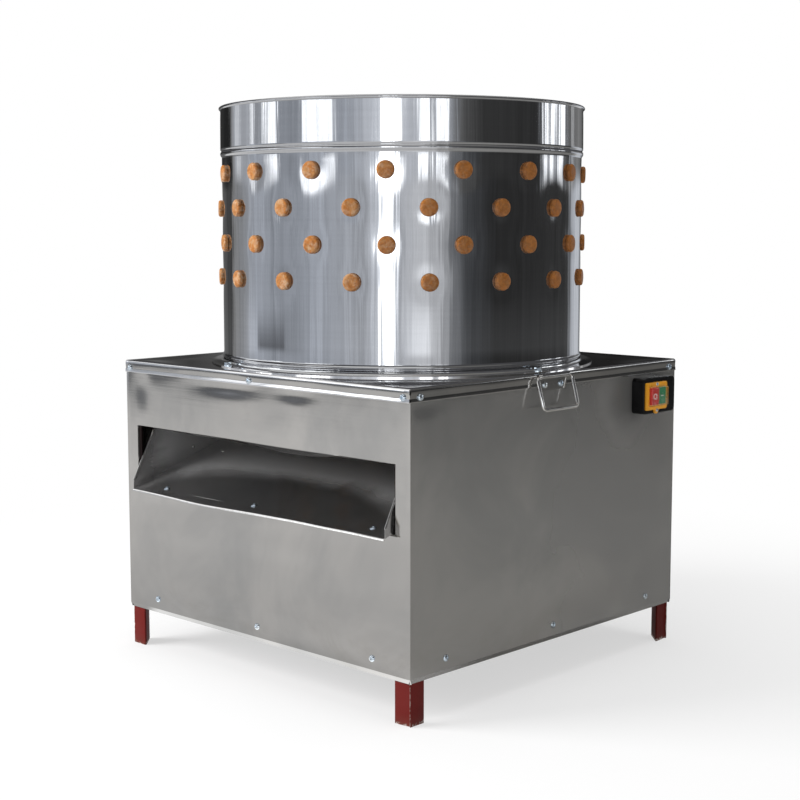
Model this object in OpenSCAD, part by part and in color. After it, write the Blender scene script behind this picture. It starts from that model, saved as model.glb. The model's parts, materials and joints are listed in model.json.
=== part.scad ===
// Drum plucker for poultry: a round tub set with rubber fingers on a square cabinet with a feather chute.
// Millimetres. +Z is up, the floor is Z = 0 under the tub axis, the chute opens towards -Y.

/* [Tub] */
// outside diameter of the tub wall
drum_od = 600; // [570:1:640]
// thickness of the tub wall
drum_wall = 1.5; // [1:0.1:2]
// height of the rim above the cover
drum_h = 420; // [400:1:480]
// diameter of the rolled rim
rim_roll_d = 8; // [6:0.5:10]
// distance of the upper bead below the rim
bead_drop = 77; // [50:1:80]
// how far a pressed bead stands out of the wall
bead_out = 2.5; // [1.5:0.1:3]
// height of the lower bead above the cover
foot_bead_h = 12; // [11:0.5:20]
// width of the flange that holds the tub down
foot_flange_w = 21; // [16:0.5:23]
// height of the upright leg of the foot ring
foot_ring_h = 7; // [5:0.5:8]
// thickness of the foot ring
foot_ring_t = 2; // [1.5:0.1:3]
// angles of the hold-down bolts round the tub
bolt_angles = [-4, 70, 176, 250];
// across flats of a hold-down bolt head
bolt_flats = 10; // [8:0.5:11]

/* [Rubber fingers] */
// rows of fingers in the tub wall
finger_rows = 4; // [1:1:4]
// fingers in one row of the wall
fingers_per_row = 16; // [8:1:18]
// height of the lowest row above the cover
first_row_h = 142; // [130:1:150]
// distance from one row to the next
row_pitch = 56; // [50:1:58]
// angle of the first finger of the upper row
finger_phase = -5.4; // [-10:0.1:10]
// diameter of a finger head outside the wall
head_d = 27.5; // [24:0.5:30]
// thickness of a finger head
head_t = 6.5; // [5:0.5:8]
// diameter of the neck that snaps into a hole
neck_d = 19; // [16:0.5:20]
// diameter of the shoulder behind the wall
shoulder_d = 25; // [22:0.5:28]
// diameter of the tip
tip_d = 12; // [10:0.5:14]
// length of a finger beyond its shoulder
finger_l = 78; // [60:1:86]
// ribs along one finger
finger_ribs = 6; // [3:1:8]

/* [Plucking disc] */
// gap between the disc and the tub wall that lets feathers fall
feather_gap = 16.5; // [12:0.5:22]
// thickness of the disc
disc_t = 5; // [4:0.5:6]
// height of the disc underside above the cover
disc_lift = 13; // [11:0.5:18]
// depth of the turned-down rim of the disc
disc_rim_h = 11; // [10:0.5:14]
// thickness of that rim
disc_rim_t = 6; // [4:0.5:8]
// distance of each ring of fingers from the axis
disc_ring_r = [105, 170, 240];
// fingers in each ring
disc_ring_n = [6, 12, 18];
// angle of the first finger of each ring
disc_ring_phase = [40, 25, 0];
// diameter of the hub under the disc
hub_d = 76; // [64:1:90]
// depth of the hub under the disc
hub_drop = 21; // [14:1:22]
// diameter of the cone at its foot
cone_d = 140; // [120:1:156]
// height of the cone on the disc
cone_h = 24; // [16:1:30]
// number of ribs under the disc
disc_ribs = 6; // [3:3:6]

/* [Cabinet] */
// height of the cover top above the floor
cabinet_h = 490; // [485:1:520]
// width of the cover beyond the tub on each side
cover_margin = 32; // [30:0.5:40]
// thickness of the cover
cover_t = 1.5; // [1:0.1:2]
// height of the skirt of the cover
skirt_h = 20; // [16:0.5:23]
// how far the hem of the skirt stands out
hem_out = 1; // [0.5:0.1:1.5]
// height of the hem
hem_h = 2.2; // [1.5:0.1:3]
// thickness of the cabinet sheet
sheet_t = 1; // [0.8:0.1:1.2]
// how far the panels stand inside the skirt face
panel_inset = 1.5; // [1.2:0.1:2]
// distance of the lower edge of the panels below the cover top
panel_bottom = 425.5; // [420:0.5:434]
// height of the bent lower edge
lip_h = 7; // [5:0.5:8]
// how far the lower edge bends in
lip_in = 2.5; // [1.5:0.1:3]
// flange width of the angle iron
iron_w = 30; // [25:1:30]
// thickness of the angle iron
iron_t = 3; // [2.5:0.1:4]
// distance of the lower edge of the bottom rails below the cover top
bottom_rail_z = 416.5; // [412:0.5:418]
// distance of the top of the middle rails below the cover top
mid_rail_top = 300; // [294:1:304]

/* [Feather chute] */
// width of the opening in the front panel
opening_w = 604; // [600:1:606]
// distance of the top edge of the opening below the cover top
opening_top = 109; // [90:1:130]
// width of the front panel beside the opening
stile_w = 28.5; // [28.5:0.5:34]
// gap between the side plates and the edge of the opening
chute_gap = 7; // [7:0.5:10]
// width of the chute inside
chute_w = 590; // [580:1:590]
// how far the lip stands out of the panel
lip_out = 15.2; // [8:0.2:20]
// distance of the lip edge below the cover top
chute_lip_z = 214.5; // [210:0.5:222]
// slope of the chute floor
chute_slope = 18.5; // [17.5:0.1:18.8]
// how far behind the lip the floor turns level
chute_level_y = 595.7; // [585.7:0.5:599.7]
// height of the side plates at the lip
chute_side_h = 12; // [8:0.5:16]
// how far the side plates lean back over their height
chute_side_lean = 100; // [60:1:120]
// length of the flange under the lip
sill_w = 24; // [18:1:30]
// inside diameter of the collar round the shaft
collar_d = 54; // [48:1:58]
// wall of the collar
collar_t = 2; // [1.5:0.1:3]
// places of the floor screws across the chute
chute_screw_x = [-228, -8, 254];
// distance of the floor screws behind the lip edge
chute_screw_in = 18; // [17:0.5:24]

/* [Drive] */
// diameter of the main shaft
shaft_d = 35; // [30:1:38]
// diameter of the threaded top of the shaft
stud_d = 22; // [18:1:24]
// outside diameter of the bearings
bearing_d = 72; // [68:1:76]
// width of one bearing
bearing_w = 17; // [14:1:18]
// height of the bearing housing
housing_h = 145; // [120:1:150]
// wall of the bearing housing
housing_wall = 10; // [8:0.5:12]
// side of the housing flange
flange_w = 150; // [144:1:160]
// thickness of the housing flange
flange_t = 12; // [10:0.5:16]
// flange width of the bearing beams
beam_w = 40; // [36:1:40]
// thickness of the bearing beams
beam_t = 4; // [3:0.5:5]
// distance of the beams from the middle to their inner edge
beam_x = 45; // [44:0.5:48]
// diameter of the driven pulley
big_pulley_d = 300; // [270:1:310]
// diameter of the motor pulley
small_pulley_d = 64; // [60:1:70]
// width of both pulleys
pulley_w = 40; // [36:1:40]
// distance of the middle of the pulleys below the cover top
pulley_z = 370; // [369:0.5:372]
// distance of the two belts from each other
belt_pitch = 16; // [15.5:0.1:17]
// width of a belt at its back
belt_w = 13; // [12:0.1:13]
// height of a belt
belt_h = 8; // [7:0.1:8.5]
// angle of a belt flank
belt_flank = 20; // [18:0.5:20]
// distance of the motor behind the main shaft
motor_y = 205; // [202:0.5:208]
// diameter of the motor casing without its fins
motor_d = 156; // [150:1:158]
// height of the motor fins
motor_fin = 8; // [5:0.5:9]
// number of motor fins
motor_fins = 24; // [12:4:28]
// height of the motor casing
motor_h = 155; // [140:1:156]
// height of the fan cover
fan_cover_h = 54; // [48:1:54]
// diameter of the motor shaft
motor_shaft_d = 24; // [20:1:26]
// width of the terminal box
terminal_w = 84; // [70:1:90]
// height of the terminal box
terminal_h = 70; // [60:1:80]
// depth of the terminal box
terminal_d = 46; // [40:1:50]
// diameter of the motor capacitor
capacitor_d = 44; // [36:1:46]
// height of the motor capacitor
capacitor_h = 96; // [80:1:110]
// thickness of the motor plate
motor_plate_t = 8; // [6:0.5:10]

/* [Switch] */
// distance of the middle of the switch from the rear edge of the cover
switch_y = 82; // [80:1:112]
// distance of the middle of the switch below the cover top
switch_z = 54.5; // [53:0.5:65]
// width of the switch box
switch_w = 90; // [88:1:96]
// height of the switch box
switch_h = 59; // [56:1:62]
// depth of the switch box
switch_d = 24; // [22:0.5:28]
// corner radius of the switch box
switch_r = 7; // [4:0.5:9]
// width of the yellow plate
plate_w = 60; // [56:1:64]
// height of the yellow plate
plate_h = 45.5; // [44:0.5:48]
// thickness of the yellow plate
plate_t = 3; // [2:0.5:4]
// how far the yellow plate lies towards the front
plate_shift = 12; // [9:0.5:12]
// width of one button
button_w = 21; // [18:0.5:22]
// height of the buttons
button_h = 28; // [24:0.5:29]
// how far the stop button stands out of the plate
stop_out = 4.5; // [4:0.1:5]
// how far the start button stands out of the plate
start_out = 3.5; // [3.1:0.1:4.5]
// travel of a button
button_travel = 3; // [2:0.1:3]
// depth of the clear hood over the buttons
hood_d = 8; // [7:0.1:9]

/* [Handles] */
// place of a handle along its side
handle_x = -12; // [-30:1:30]
// width of a handle between its wire axes
handle_w = 86; // [80:1:100]
// height of a handle between its wire axes
handle_h = 52; // [46:1:60]
// diameter of the handle wire
wire_d = 4; // [3:0.1:4.2]
// bend radius of the wire axis
wire_bend = 7; // [5:0.5:10]
// tilt of a handle away from the cabinet
handle_tilt = 15; // [10:1:25]
// distance of the pivot from the skirt
pivot_out = 5.6; // [5.4:0.1:7]
// distance of the pivot below the cover top
pivot_drop = 3.5; // [2:0.1:5]
// length of the rolled knuckle
knuckle_l = 68; // [60:1:70]
// distance of the two bracket screws
bracket_pitch = 40; // [34:1:44]

/* [Fasteners] */
// diameter of the sheet screws
screw_d = 5; // [4:0.1:5]
// head diameter of the sheet screws
screw_head_d = 10; // [8:0.5:11]
// head height of the sheet screws
screw_head_h = 3.4; // [2.5:0.1:4]
// length of the sheet screws
screw_l = 12; // [11:0.5:14]
// distance of the outer skirt screws from the corner at the front and rear
skirt_screw_front = 14; // [13:1:18]
// distance of the outer skirt screws from the corner on the right and left
skirt_screw_side = 21; // [20:1:28]
// place of the middle skirt screw at the front and rear
skirt_screw_mid = -12; // [-20:1:20]
// distance of the skirt screws below the cover top
skirt_screw_drop = 12.6; // [11:0.1:12.8]
// distance of the outer panel screws from the middle
panel_screw_x = 254; // [220:1:270]
// height of the panel screws above the bottom rail edge
panel_screw_up = 15; // [13:0.5:18]
// bore of the cable grommet in the rear panel
grommet_bore = 9; // [7:0.5:10]
// place of the grommet across the rear panel
grommet_x = 200; // [160:1:220]
// distance of the grommet below the cover top
grommet_z = 360; // [350:1:365]

/* [Fits] */
// gap between a rubber finger and its wall
finger_gap = 0.45; // [0.4:0.05:0.6]
// gap round the shank of a fastener
shank_gap = 0.4; // [0.38:0.02:0.5]
// radial running clearance of a shaft
run_gap = 0.05; // [0.02:0.01:0.1]
// gap between a belt and its groove
belt_gap = 0.35; // [0.3:0.05:0.5]
// gap round a button
button_gap = 0.4; // [0.3:0.05:0.5]
// gap between the skirt and the collar parts that only pass through
pass_gap = 0.4; // [0.3:0.05:0.6]

/* [Hidden] */
$fn = 64;
eps = 0.5;
drum_r = drum_od / 2;
drum_in = drum_r - drum_wall;
rim_top = cabinet_h + drum_h;
rim_r = rim_roll_d / 2;
rim_axis_r = drum_r + rim_r - drum_wall - rim_roll_d / 4;
rim_axis_z = rim_top - rim_r;
bead_z = rim_top - bead_drop;
foot_bead_z = cabinet_h + foot_bead_h;
finger_hole_d = neck_d + 2 * finger_gap + 0.1;
// a flat shoulder inside a round wall has to clear the bulge of the wall
wall_sag = drum_in - sqrt(drum_in * drum_in - shoulder_d * shoulder_d / 4);
// the opening takes in the chute, and the cabinet takes in the tub and the opening
opening_l = max(opening_w, chute_w + 2 * chute_gap);
cover_half = max(drum_r + cover_margin, opening_l / 2 + stile_w + panel_inset);
cover_w = 2 * cover_half;
// levels counted from the cover top
panel_low = cabinet_h - panel_bottom;
bottom_rail_low = cabinet_h - bottom_rail_z;
mid_rail_high = cabinet_h - mid_rail_top;
opening_high = cabinet_h - opening_top;
lip_z = cabinet_h - chute_lip_z;
pulley_mid = cabinet_h - pulley_z;
switch_mid = cabinet_h - switch_z;
switch_along = cover_half - switch_y;
grommet_mid = cabinet_h - grommet_z;
cover_hole_r = drum_in - 6.5;
rail_top = cabinet_h - cover_t;
panel_half = cover_half - panel_inset;
panel_in = panel_half - sheet_t;
panel_top = rail_top - pass_gap;
rail_half = panel_in;
leg_half = panel_half - lip_in - sheet_t * 1.1 - 0.1;
leg_edge = leg_half - iron_w;
rail_l = 2 * leg_edge;
mid_rail_under = mid_rail_high - iron_t;
beam_top = mid_rail_under;
beam_l = 2 * (rail_half - iron_t);
// chute floor as a plane
slope_rise = tan(chute_slope);
lip_y = -(panel_half + lip_out);
floor_drop = sheet_t / cos(chute_slope);
function floor_top(y) = lip_z + slope_rise * (y - lip_y);
level_y = lip_y + chute_level_y;
level_z = floor_top(level_y);
chute_end_y = leg_edge - 1;
sill_z = floor_top(-panel_half) - floor_drop;
chute_side_top = rail_top - iron_t - sheet_t;
chute_half = chute_w / 2;
collar_r = collar_d / 2;
// plucking disc
disc_r = drum_in - feather_gap;
disc_z = cabinet_h + disc_lift;
disc_top = disc_z + disc_t;
hub_z = disc_z - hub_drop;
cone_top = disc_top + cone_h;
shaft_r = shaft_d / 2;
stud_r = stud_d / 2;
collar_top = hub_z - 4;
// drive levels
housing_top = beam_top + housing_h;
slinger_z = housing_top + 4;
slinger_t = 6;
pulley_low = pulley_mid - pulley_w / 2;
pulley_high = pulley_mid + pulley_w / 2;
shaft_low = pulley_low - 6;
retainer_t = 6;
motor_base = beam_top + motor_plate_t;
motor_top = motor_base + motor_h;
motor_r = motor_d / 2;
motor_shield_t = 12;
core_inset = 26;
fan_lift = 8;
fan_head = 18;
fan_plate_t = 3;
hold_bolt_d = 6;
hold_bolt_l = 12;
drive_bolt_d = 8;
drive_bolt_flats = 13;
drive_bolt_l = 28;
core_low = motor_base + core_inset;
core_h = motor_h - 2 * core_inset;
core_in = motor_r * 0.61;
rotor_gap = 0.6;
motor_wall = 5;
terminal_t = 3;
terminal_lift = 46;
cap_r = capacitor_d / 2;
cap_step = 4;
cap_top_h = 6;
fan_r = motor_r * 0.76;
belt_groove_h = belt_h + 1.5;
belt_turn = acos((big_pulley_d - small_pulley_d) / 2 / motor_y);
belt_run = motor_y * sin(belt_turn);
// switch frame
switch_wall = 2.5;
window_w = 2 * button_w + 3 * button_gap;
window_h = button_h + 2 * button_gap;
button_back = switch_d - switch_wall - 3;
hood_wall = 1;
hood_w = window_w + 5;
hood_h = window_h + 4;
tab_r = 6;
plate_tab_out = 1;
plate_screw_in = 3.15;
plate_screw_d = 3.2;
plate_screw_head_d = 6;
plate_screw_head_h = 2.4;
plate_screw_l = 7;
// handle frame
pivot_z = cabinet_h - pivot_drop;
pivot_half = cover_half + pivot_out;
wire_r = wire_d / 2;
knuckle_r = wire_r + 2;
bracket_t = pivot_out - knuckle_r + 0.4;
bracket_h = 22;
bracket_screw_drop = 17;
bracket_screw_z = cabinet_h - bracket_screw_drop;
shank_hole = screw_d + 2 * shank_gap;

// Helpers

// turns a piece of the front side to side k: 0 front, 1 right, 2 rear, 3 left
module on_side(k) {
  rotate([0, 0, 90 * k]) children();
}

// puts a piece on the face of a side with its Z pointing out of the cabinet
module on_face(k, x, half, z) {
  on_side(k) translate([x, -half, z]) rotate([90, 0, 0]) children();
}

// angle iron along X, its corner at the origin, one flange inwards and one up or down
module angle_along(l, w, t, up) {
  translate([-l / 2, 0, 0])
    rotate([90, 0, 90])
      linear_extrude(l)
        polygon([[0, 0], [w, 0], [w, up * t], [t, up * t], [t, up * w], [0, up * w]]);
}

module ring(r_out, r_in, h) {
  difference() {
    cylinder(r = r_out, h = h);
    translate([0, 0, -eps]) cylinder(r = r_in, h = h + 2 * eps);
  }
}

module torus(r_axis, r_tube) {
  rotate_extrude() translate([r_axis, 0]) circle(r = r_tube, $fn = 24);
}

module rounded_plate(w, h, r, t) {
  linear_extrude(t)
    union() {
      square([w - 2 * r, h], center = true);
      square([w, h - 2 * r], center = true);
      for (sx = [-1, 1])
        for (sy = [-1, 1])
          translate([sx * (w / 2 - r), sy * (h / 2 - r)]) circle(r = r);
    }
}

// pan head screw, the seat of the head at Z = 0
module pan_screw(d, head_w, head_h, l) {
  rotate_extrude()
    polygon([
      [0, -l], [d / 2, -l], [d / 2, 0], [head_w / 2, 0], [head_w / 2, head_h * 0.35],
      [head_w * 0.4, head_h * 0.8], [head_w * 0.2, head_h], [0, head_h]
    ]);
}

// hexagon bolt with a washer, the seat at Z = 0
module hex_bolt(d, flats, l) {
  washer_t = d / 5;
  translate([0, 0, washer_t]) cylinder(d = flats / cos(30), h = d * 0.7, $fn = 6);
  cylinder(d = flats * 1.3, h = washer_t);
  translate([0, 0, -l]) cylinder(d = d, h = l + eps);
}

// places of the skirt screws of one side
module skirt_screw_places(k) {
  outer = cover_half - (k % 2 == 0 ? skirt_screw_front : skirt_screw_side);
  for (x = [-outer, outer])
    on_face(k, x, cover_half, cabinet_h - skirt_screw_drop) children();
  if (k % 2 == 0)
    on_face(k, skirt_screw_mid, cover_half, cabinet_h - skirt_screw_drop) children();
}

// places of the bracket screws on the right and left side
module bracket_screw_places(k) {
  for (s = [-1, 1])
    on_face(k, handle_x + s * bracket_pitch / 2, cover_half + bracket_t, bracket_screw_z) children();
}

// places of the screws along the bottom rail of one side
module panel_screw_places(k) {
  for (x = [-panel_screw_x, 0, panel_screw_x])
    on_face(k, x, panel_half, bottom_rail_low + panel_screw_up) children();
}

// places of the screws through the chute floor and the sill
module chute_screw_places() {
  for (x = chute_screw_x)
    translate([x, lip_y + chute_screw_in, floor_top(lip_y + chute_screw_in)])
      rotate([chute_slope, 0, 0]) children();
}

module shank_cut() {
  translate([0, 0, -screw_l - 4]) cylinder(d = shank_hole, h = screw_l + 8);
}

module side_cuts(k) {
  skirt_screw_places(k) shank_cut();
  panel_screw_places(k) shank_cut();
  if (k % 2 == 1) bracket_screw_places(k) shank_cut();
}

// one rubber finger, its wall from Z = 0 to Z = wall, the tip upwards
module finger(wall, sag) {
  head_r = head_d / 2;
  base = wall + finger_gap + sag;
  shoulder_r = shoulder_d / 2;
  step = finger_l / finger_ribs;
  taper = (shoulder_r - tip_d / 2) / finger_ribs;
  rotate_extrude()
    polygon(concat(
      [[0, -finger_gap - head_t], [head_r - 3, -finger_gap - head_t]],
      [[head_r - 0.8, -finger_gap - head_t + 1], [head_r, -finger_gap - head_t + 3], [head_r, -finger_gap]],
      [[neck_d / 2, -finger_gap], [neck_d / 2, base], [shoulder_r, base]],
      [for (i = [0 : 2 * finger_ribs - 1])
        let (j = floor(i / 2))
          i % 2 == 0
            ? [shoulder_r - taper * j, base + step * (j + 0.55)]
            : [shoulder_r - taper * (j + 1) - 0.6, base + step * (j + 0.75)]],
      [[tip_d / 2 - 0.6, base + finger_l - 2], [tip_d / 2 - 2.5, base + finger_l], [0, base + finger_l]]
    ));
}

module wall_finger_places() {
  for (row = [0 : finger_rows - 1])
    for (i = [0 : fingers_per_row - 1])
      rotate([0, 0, finger_phase + (i + (row % 2 == 0 ? 0.5 : 0)) * 360 / fingers_per_row])
        translate([drum_r, 0, cabinet_h + first_row_h + row * row_pitch])
          rotate([0, -90, 0]) children();
}

module disc_finger_places() {
  for (ring = [0 : len(disc_ring_r) - 1])
    for (i = [0 : disc_ring_n[ring] - 1])
      rotate([0, 0, disc_ring_phase[ring] + i * 360 / disc_ring_n[ring]])
        translate([disc_ring_r[ring], 0, disc_z]) children();
}

// Frame

module leg(k) {
  color("firebrick")
    difference() {
      on_side(k)
        translate([-leg_half, -leg_half, 0])
          linear_extrude(rail_top)
            polygon([[0, 0], [iron_w, 0], [iron_w, iron_t], [iron_t, iron_t], [iron_t, iron_w], [0, iron_w]]);
      side_cuts(k);
      side_cuts((k + 3) % 4);
    }
}

module leg_front_left() {
  leg(0);
}

module leg_front_right() {
  leg(1);
}

module leg_rear_right() {
  leg(2);
}

module leg_rear_left() {
  leg(3);
}

module top_rail(k) {
  color("firebrick")
    difference() {
      on_side(k) translate([0, -rail_half, rail_top]) angle_along(rail_l, iron_w, iron_t, -1);
      side_cuts(k);
      bolt_places() bolt_cut();
    }
}

module top_rail_front() {
  top_rail(0);
}

module top_rail_right() {
  top_rail(1);
}

module top_rail_rear() {
  top_rail(2);
}

module top_rail_left() {
  top_rail(3);
}

module bottom_rail(k) {
  color("firebrick")
    difference() {
      on_side(k) translate([0, -rail_half, bottom_rail_low]) angle_along(rail_l, iron_w, iron_t, 1);
      side_cuts(k);
    }
}

module bottom_rail_front() {
  bottom_rail(0);
}

module bottom_rail_right() {
  bottom_rail(1);
}

module bottom_rail_rear() {
  bottom_rail(2);
}

module bottom_rail_left() {
  bottom_rail(3);
}

module mid_rail(k) {
  color("firebrick")
    on_side(k) translate([0, -rail_half, mid_rail_high]) angle_along(rail_l, iron_w, iron_t, -1);
}

module mid_rail_front() {
  mid_rail(0);
}

module mid_rail_rear() {
  mid_rail(2);
}

module drive_bolt_places() {
  for (sx = [-1, 1])
    for (sy = [-1, 1])
      translate([sx * (beam_x + 17), sy * (flange_w / 2 - 13), beam_top + flange_t]) children();
  for (sx = [-1, 1])
    for (y = [motor_y - motor_r - 1, motor_y + motor_r - 1])
      translate([sx * (beam_x + 17), y, motor_base]) children();
}

module drive_bolt_cut() {
  translate([0, 0, -drive_bolt_l - flange_t]) cylinder(d = drive_bolt_d + 2 * shank_gap, h = 2 * drive_bolt_l + flange_t);
}

module bearing_beam(s) {
  color("firebrick")
    difference() {
      translate([s * beam_x, 0, beam_top])
        mirror([s < 0 ? 1 : 0, 0, 0])
          translate([beam_w, 0, 0])
            rotate([0, 0, 90])
              angle_along(beam_l, beam_w, beam_t, -1);
      drive_bolt_places() drive_bolt_cut();
    }
}

module bearing_beam_left() {
  bearing_beam(-1);
}

module bearing_beam_right() {
  bearing_beam(1);
}

// Cabinet sheets

module plain_panel(k, w) {
  inner_foot = lip_in + sheet_t / cos(atan(lip_in / lip_h));
  on_side(k)
    translate([-w / 2, -panel_half, 0])
      rotate([90, 0, 90])
        linear_extrude(w)
          polygon([
            [0, panel_top], [0, panel_low + lip_h], [lip_in, panel_low],
            [inner_foot, panel_low], [sheet_t, panel_low + lip_h], [sheet_t, panel_top]
          ]);
}

module front_panel() {
  color("silver")
    difference() {
      union() {
        difference() {
          plain_panel(0, 2 * panel_half);
          translate([-opening_l / 2, -panel_half - eps, sill_z - sheet_t])
            cube([opening_l, 4, opening_high - sill_z + sheet_t]);
        }
        translate([-chute_half, -panel_half, sill_z])
          rotate([chute_slope, 0, 0])
            translate([0, 0, -sheet_t]) cube([chute_w, sill_w, sheet_t]);
        translate([-opening_l / 2, -panel_half, sill_z - 2 * sheet_t])
          cube([opening_l, sheet_t, sheet_t + 0.4]);
      }
      side_cuts(0);
      chute_screw_places() shank_cut();
    }
}

module right_panel() {
  color("silver")
    difference() {
      plain_panel(1, 2 * panel_in);
      side_cuts(1);
      translate([panel_half - 5, switch_along, switch_mid]) rotate([0, 90, 0]) cylinder(d = 16, h = 10);
    }
}

module rear_panel() {
  color("silver")
    difference() {
      plain_panel(2, 2 * panel_half);
      side_cuts(2);
      translate([grommet_x, panel_half - 5, grommet_mid])
        rotate([-90, 0, 0]) cylinder(d = grommet_bore + 7 + 2 * pass_gap, h = 10);
    }
}

module left_panel() {
  color("silver")
    difference() {
      plain_panel(3, 2 * panel_in);
      side_cuts(3);
    }
}

module bolt_places() {
  for (a = bolt_angles)
    rotate([0, 0, a])
      translate([drum_r + pass_gap + foot_flange_w * 0.6, 0, cabinet_h + foot_ring_t]) children();
}

module bolt_cut() {
  translate([0, 0, -2 * hold_bolt_l]) cylinder(d = hold_bolt_d + 2 * shank_gap, h = 3 * hold_bolt_l);
}

module top_cover() {
  color("silver")
    difference() {
      union() {
        translate([-cover_half, -cover_half, rail_top]) cube([cover_w, cover_w, cover_t]);
        difference() {
          union() {
            translate([-cover_half, -cover_half, cabinet_h - skirt_h])
              cube([cover_w, cover_w, skirt_h]);
            translate([-cover_half - hem_out, -cover_half - hem_out, cabinet_h - skirt_h])
              cube([cover_w + 2 * hem_out, cover_w + 2 * hem_out, hem_h]);
          }
          translate([-cover_half + sheet_t, -cover_half + sheet_t, cabinet_h - skirt_h - eps])
            cube([cover_w - 2 * sheet_t, cover_w - 2 * sheet_t, skirt_h + 2 * eps]);
        }
      }
      translate([0, 0, rail_top - 5]) cylinder(r = cover_hole_r, h = 10, $fn = 128);
      for (k = [0 : 3]) side_cuts(k);
      bolt_places() bolt_cut();
      // the hem stops where a handle bracket lies on the skirt
      for (k = [1, 3])
        on_side(k)
          translate([handle_x - knuckle_l / 2 - pass_gap, -cover_half - hem_out - eps, cabinet_h - skirt_h - eps])
            cube([knuckle_l + 2 * pass_gap, hem_out + eps, hem_h + 2 * eps]);
    }
}

// Feather chute

module chute_floor() {
  color("silver")
    difference() {
      union() {
        translate([-chute_half, 0, 0])
          rotate([90, 0, 90])
            linear_extrude(chute_w)
              polygon([
                [lip_y, lip_z], [level_y, level_z], [chute_end_y, level_z],
                [chute_end_y, level_z - sheet_t], [level_y, level_z - floor_drop],
                [lip_y, lip_z - floor_drop]
              ]);
        translate([-chute_half, lip_y, lip_z - floor_drop / 2])
          rotate([0, 90, 0]) cylinder(r = sheet_t * 1.2, h = chute_w, $fn = 24);
      }
      translate([0, 0, floor_top(-collar_r) - 40]) cylinder(r = collar_r + collar_t + pass_gap, h = 80);
      chute_screw_places() shank_cut();
    }
}

module chute_side(s) {
  color("silver")
    mirror([s < 0 ? 1 : 0, 0, 0]) {
      translate([chute_half, 0, 0])
        rotate([90, 0, 90])
          linear_extrude(sheet_t)
            polygon([
              [lip_y, lip_z - floor_drop], [lip_y, lip_z + chute_side_h],
              [lip_y + chute_side_lean, chute_side_top], [lip_y + chute_side_lean, chute_side_top + sheet_t],
              [chute_end_y, chute_side_top + sheet_t],
              [chute_end_y, level_z - sheet_t], [level_y, level_z - floor_drop]
            ]);
      translate([chute_half, lip_y + chute_side_lean, chute_side_top])
        cube([rail_half - iron_w - chute_half + 6, chute_end_y - lip_y - chute_side_lean, sheet_t]);
    }
}

module chute_left_side() {
  chute_side(-1);
}

module chute_right_side() {
  chute_side(1);
}

module shaft_collar() {
  collar_low = floor_top(-collar_r) - 4;
  color("silver")
    translate([0, 0, collar_low]) ring(collar_r + collar_t, collar_r, collar_top - collar_low);
}

// Tub

module drum_shell() {
  color("lightgray")
    difference() {
      union() {
        translate([0, 0, cabinet_h])
          cylinder(r = drum_r, h = drum_h - rim_r, $fn = 128);
        translate([0, 0, rim_axis_z]) torus(rim_axis_r, rim_r);
        for (z = [bead_z, foot_bead_z])
          translate([0, 0, z]) torus(drum_r - 0.5, bead_out + 0.5);
      }
      translate([0, 0, cabinet_h - eps]) cylinder(r = drum_in, h = drum_h + 2 * eps, $fn = 128);
      translate([0, 0, bead_z]) torus(drum_r - 0.5, bead_out + 0.5 - drum_wall);
      wall_finger_places() translate([0, 0, -10]) cylinder(d = finger_hole_d, h = 20);
    }
}

module drum_foot_ring() {
  r_in = drum_r + pass_gap;
  color("silver")
    difference() {
      rotate_extrude($fn = 128)
        polygon([
          [r_in, cabinet_h], [r_in + foot_flange_w, cabinet_h], [r_in + foot_flange_w, cabinet_h + foot_ring_t],
          [r_in + foot_ring_t + 1, cabinet_h + foot_ring_t], [r_in + foot_ring_t, cabinet_h + foot_ring_t + 1],
          [r_in + foot_ring_t, cabinet_h + foot_ring_h], [r_in, cabinet_h + foot_ring_h]
        ]);
      bolt_places() bolt_cut();
    }
}

module drum_fingers() {
  color("peru")
    wall_finger_places() finger(drum_wall, wall_sag);
}

module hold_down_bolts() {
  color("gainsboro")
    bolt_places() hex_bolt(hold_bolt_d, bolt_flats, hold_bolt_l);
}

// Plucking disc and its shaft

module plucking_disc() {
  color("darkgray")
    difference() {
      union() {
        rotate_extrude($fn = 128)
          polygon([
            [0, hub_z], [hub_d / 2, hub_z], [hub_d / 2, disc_z], [disc_r - disc_rim_t, disc_z],
            [disc_r - disc_rim_t, disc_top - disc_rim_h], [disc_r, disc_top - disc_rim_h], [disc_r, disc_top],
            [cone_d / 2, disc_top], [hub_d / 2 - 8, cone_top], [0, cone_top]
          ]);
        for (i = [0 : disc_ribs - 1])
          rotate([0, 0, 10 + i * 360 / disc_ribs])
            translate([hub_d / 2 - 1, -2, disc_z - disc_rim_h / 2])
              cube([disc_r - disc_rim_t - hub_d / 2 + 2, 4, disc_rim_h / 2 + 1]);
      }
      translate([0, 0, hub_z - eps]) cylinder(r = shaft_r, h = disc_top - hub_z + eps);
      cylinder(r = stud_r, h = cone_top + 10);
      disc_finger_places() translate([0, 0, -10]) cylinder(d = finger_hole_d, h = 20);
    }
}

module disc_fingers() {
  color("peru")
    disc_finger_places() finger(disc_t, 0);
}

module disc_cap_nut() {
  nut_h = 14;
  color("gainsboro")
    difference() {
      union() {
        translate([0, 0, cone_top]) cylinder(d = hub_d - 18, h = 3);
        translate([0, 0, cone_top + 3 - eps]) cylinder(d = stud_d * 1.75, h = nut_h, $fn = 6);
        translate([0, 0, cone_top + nut_h]) sphere(d = stud_d * 1.35);
      }
      translate([0, 0, cone_top - 30]) cylinder(r = stud_r, h = 30 + nut_h - 2);
    }
}

module main_shaft() {
  color("slategray") {
    translate([0, 0, shaft_low]) cylinder(r = shaft_r, h = disc_top - shaft_low);
    translate([0, 0, disc_top - eps]) cylinder(r = stud_r, h = cone_h + 10 + eps);
  }
}

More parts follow.
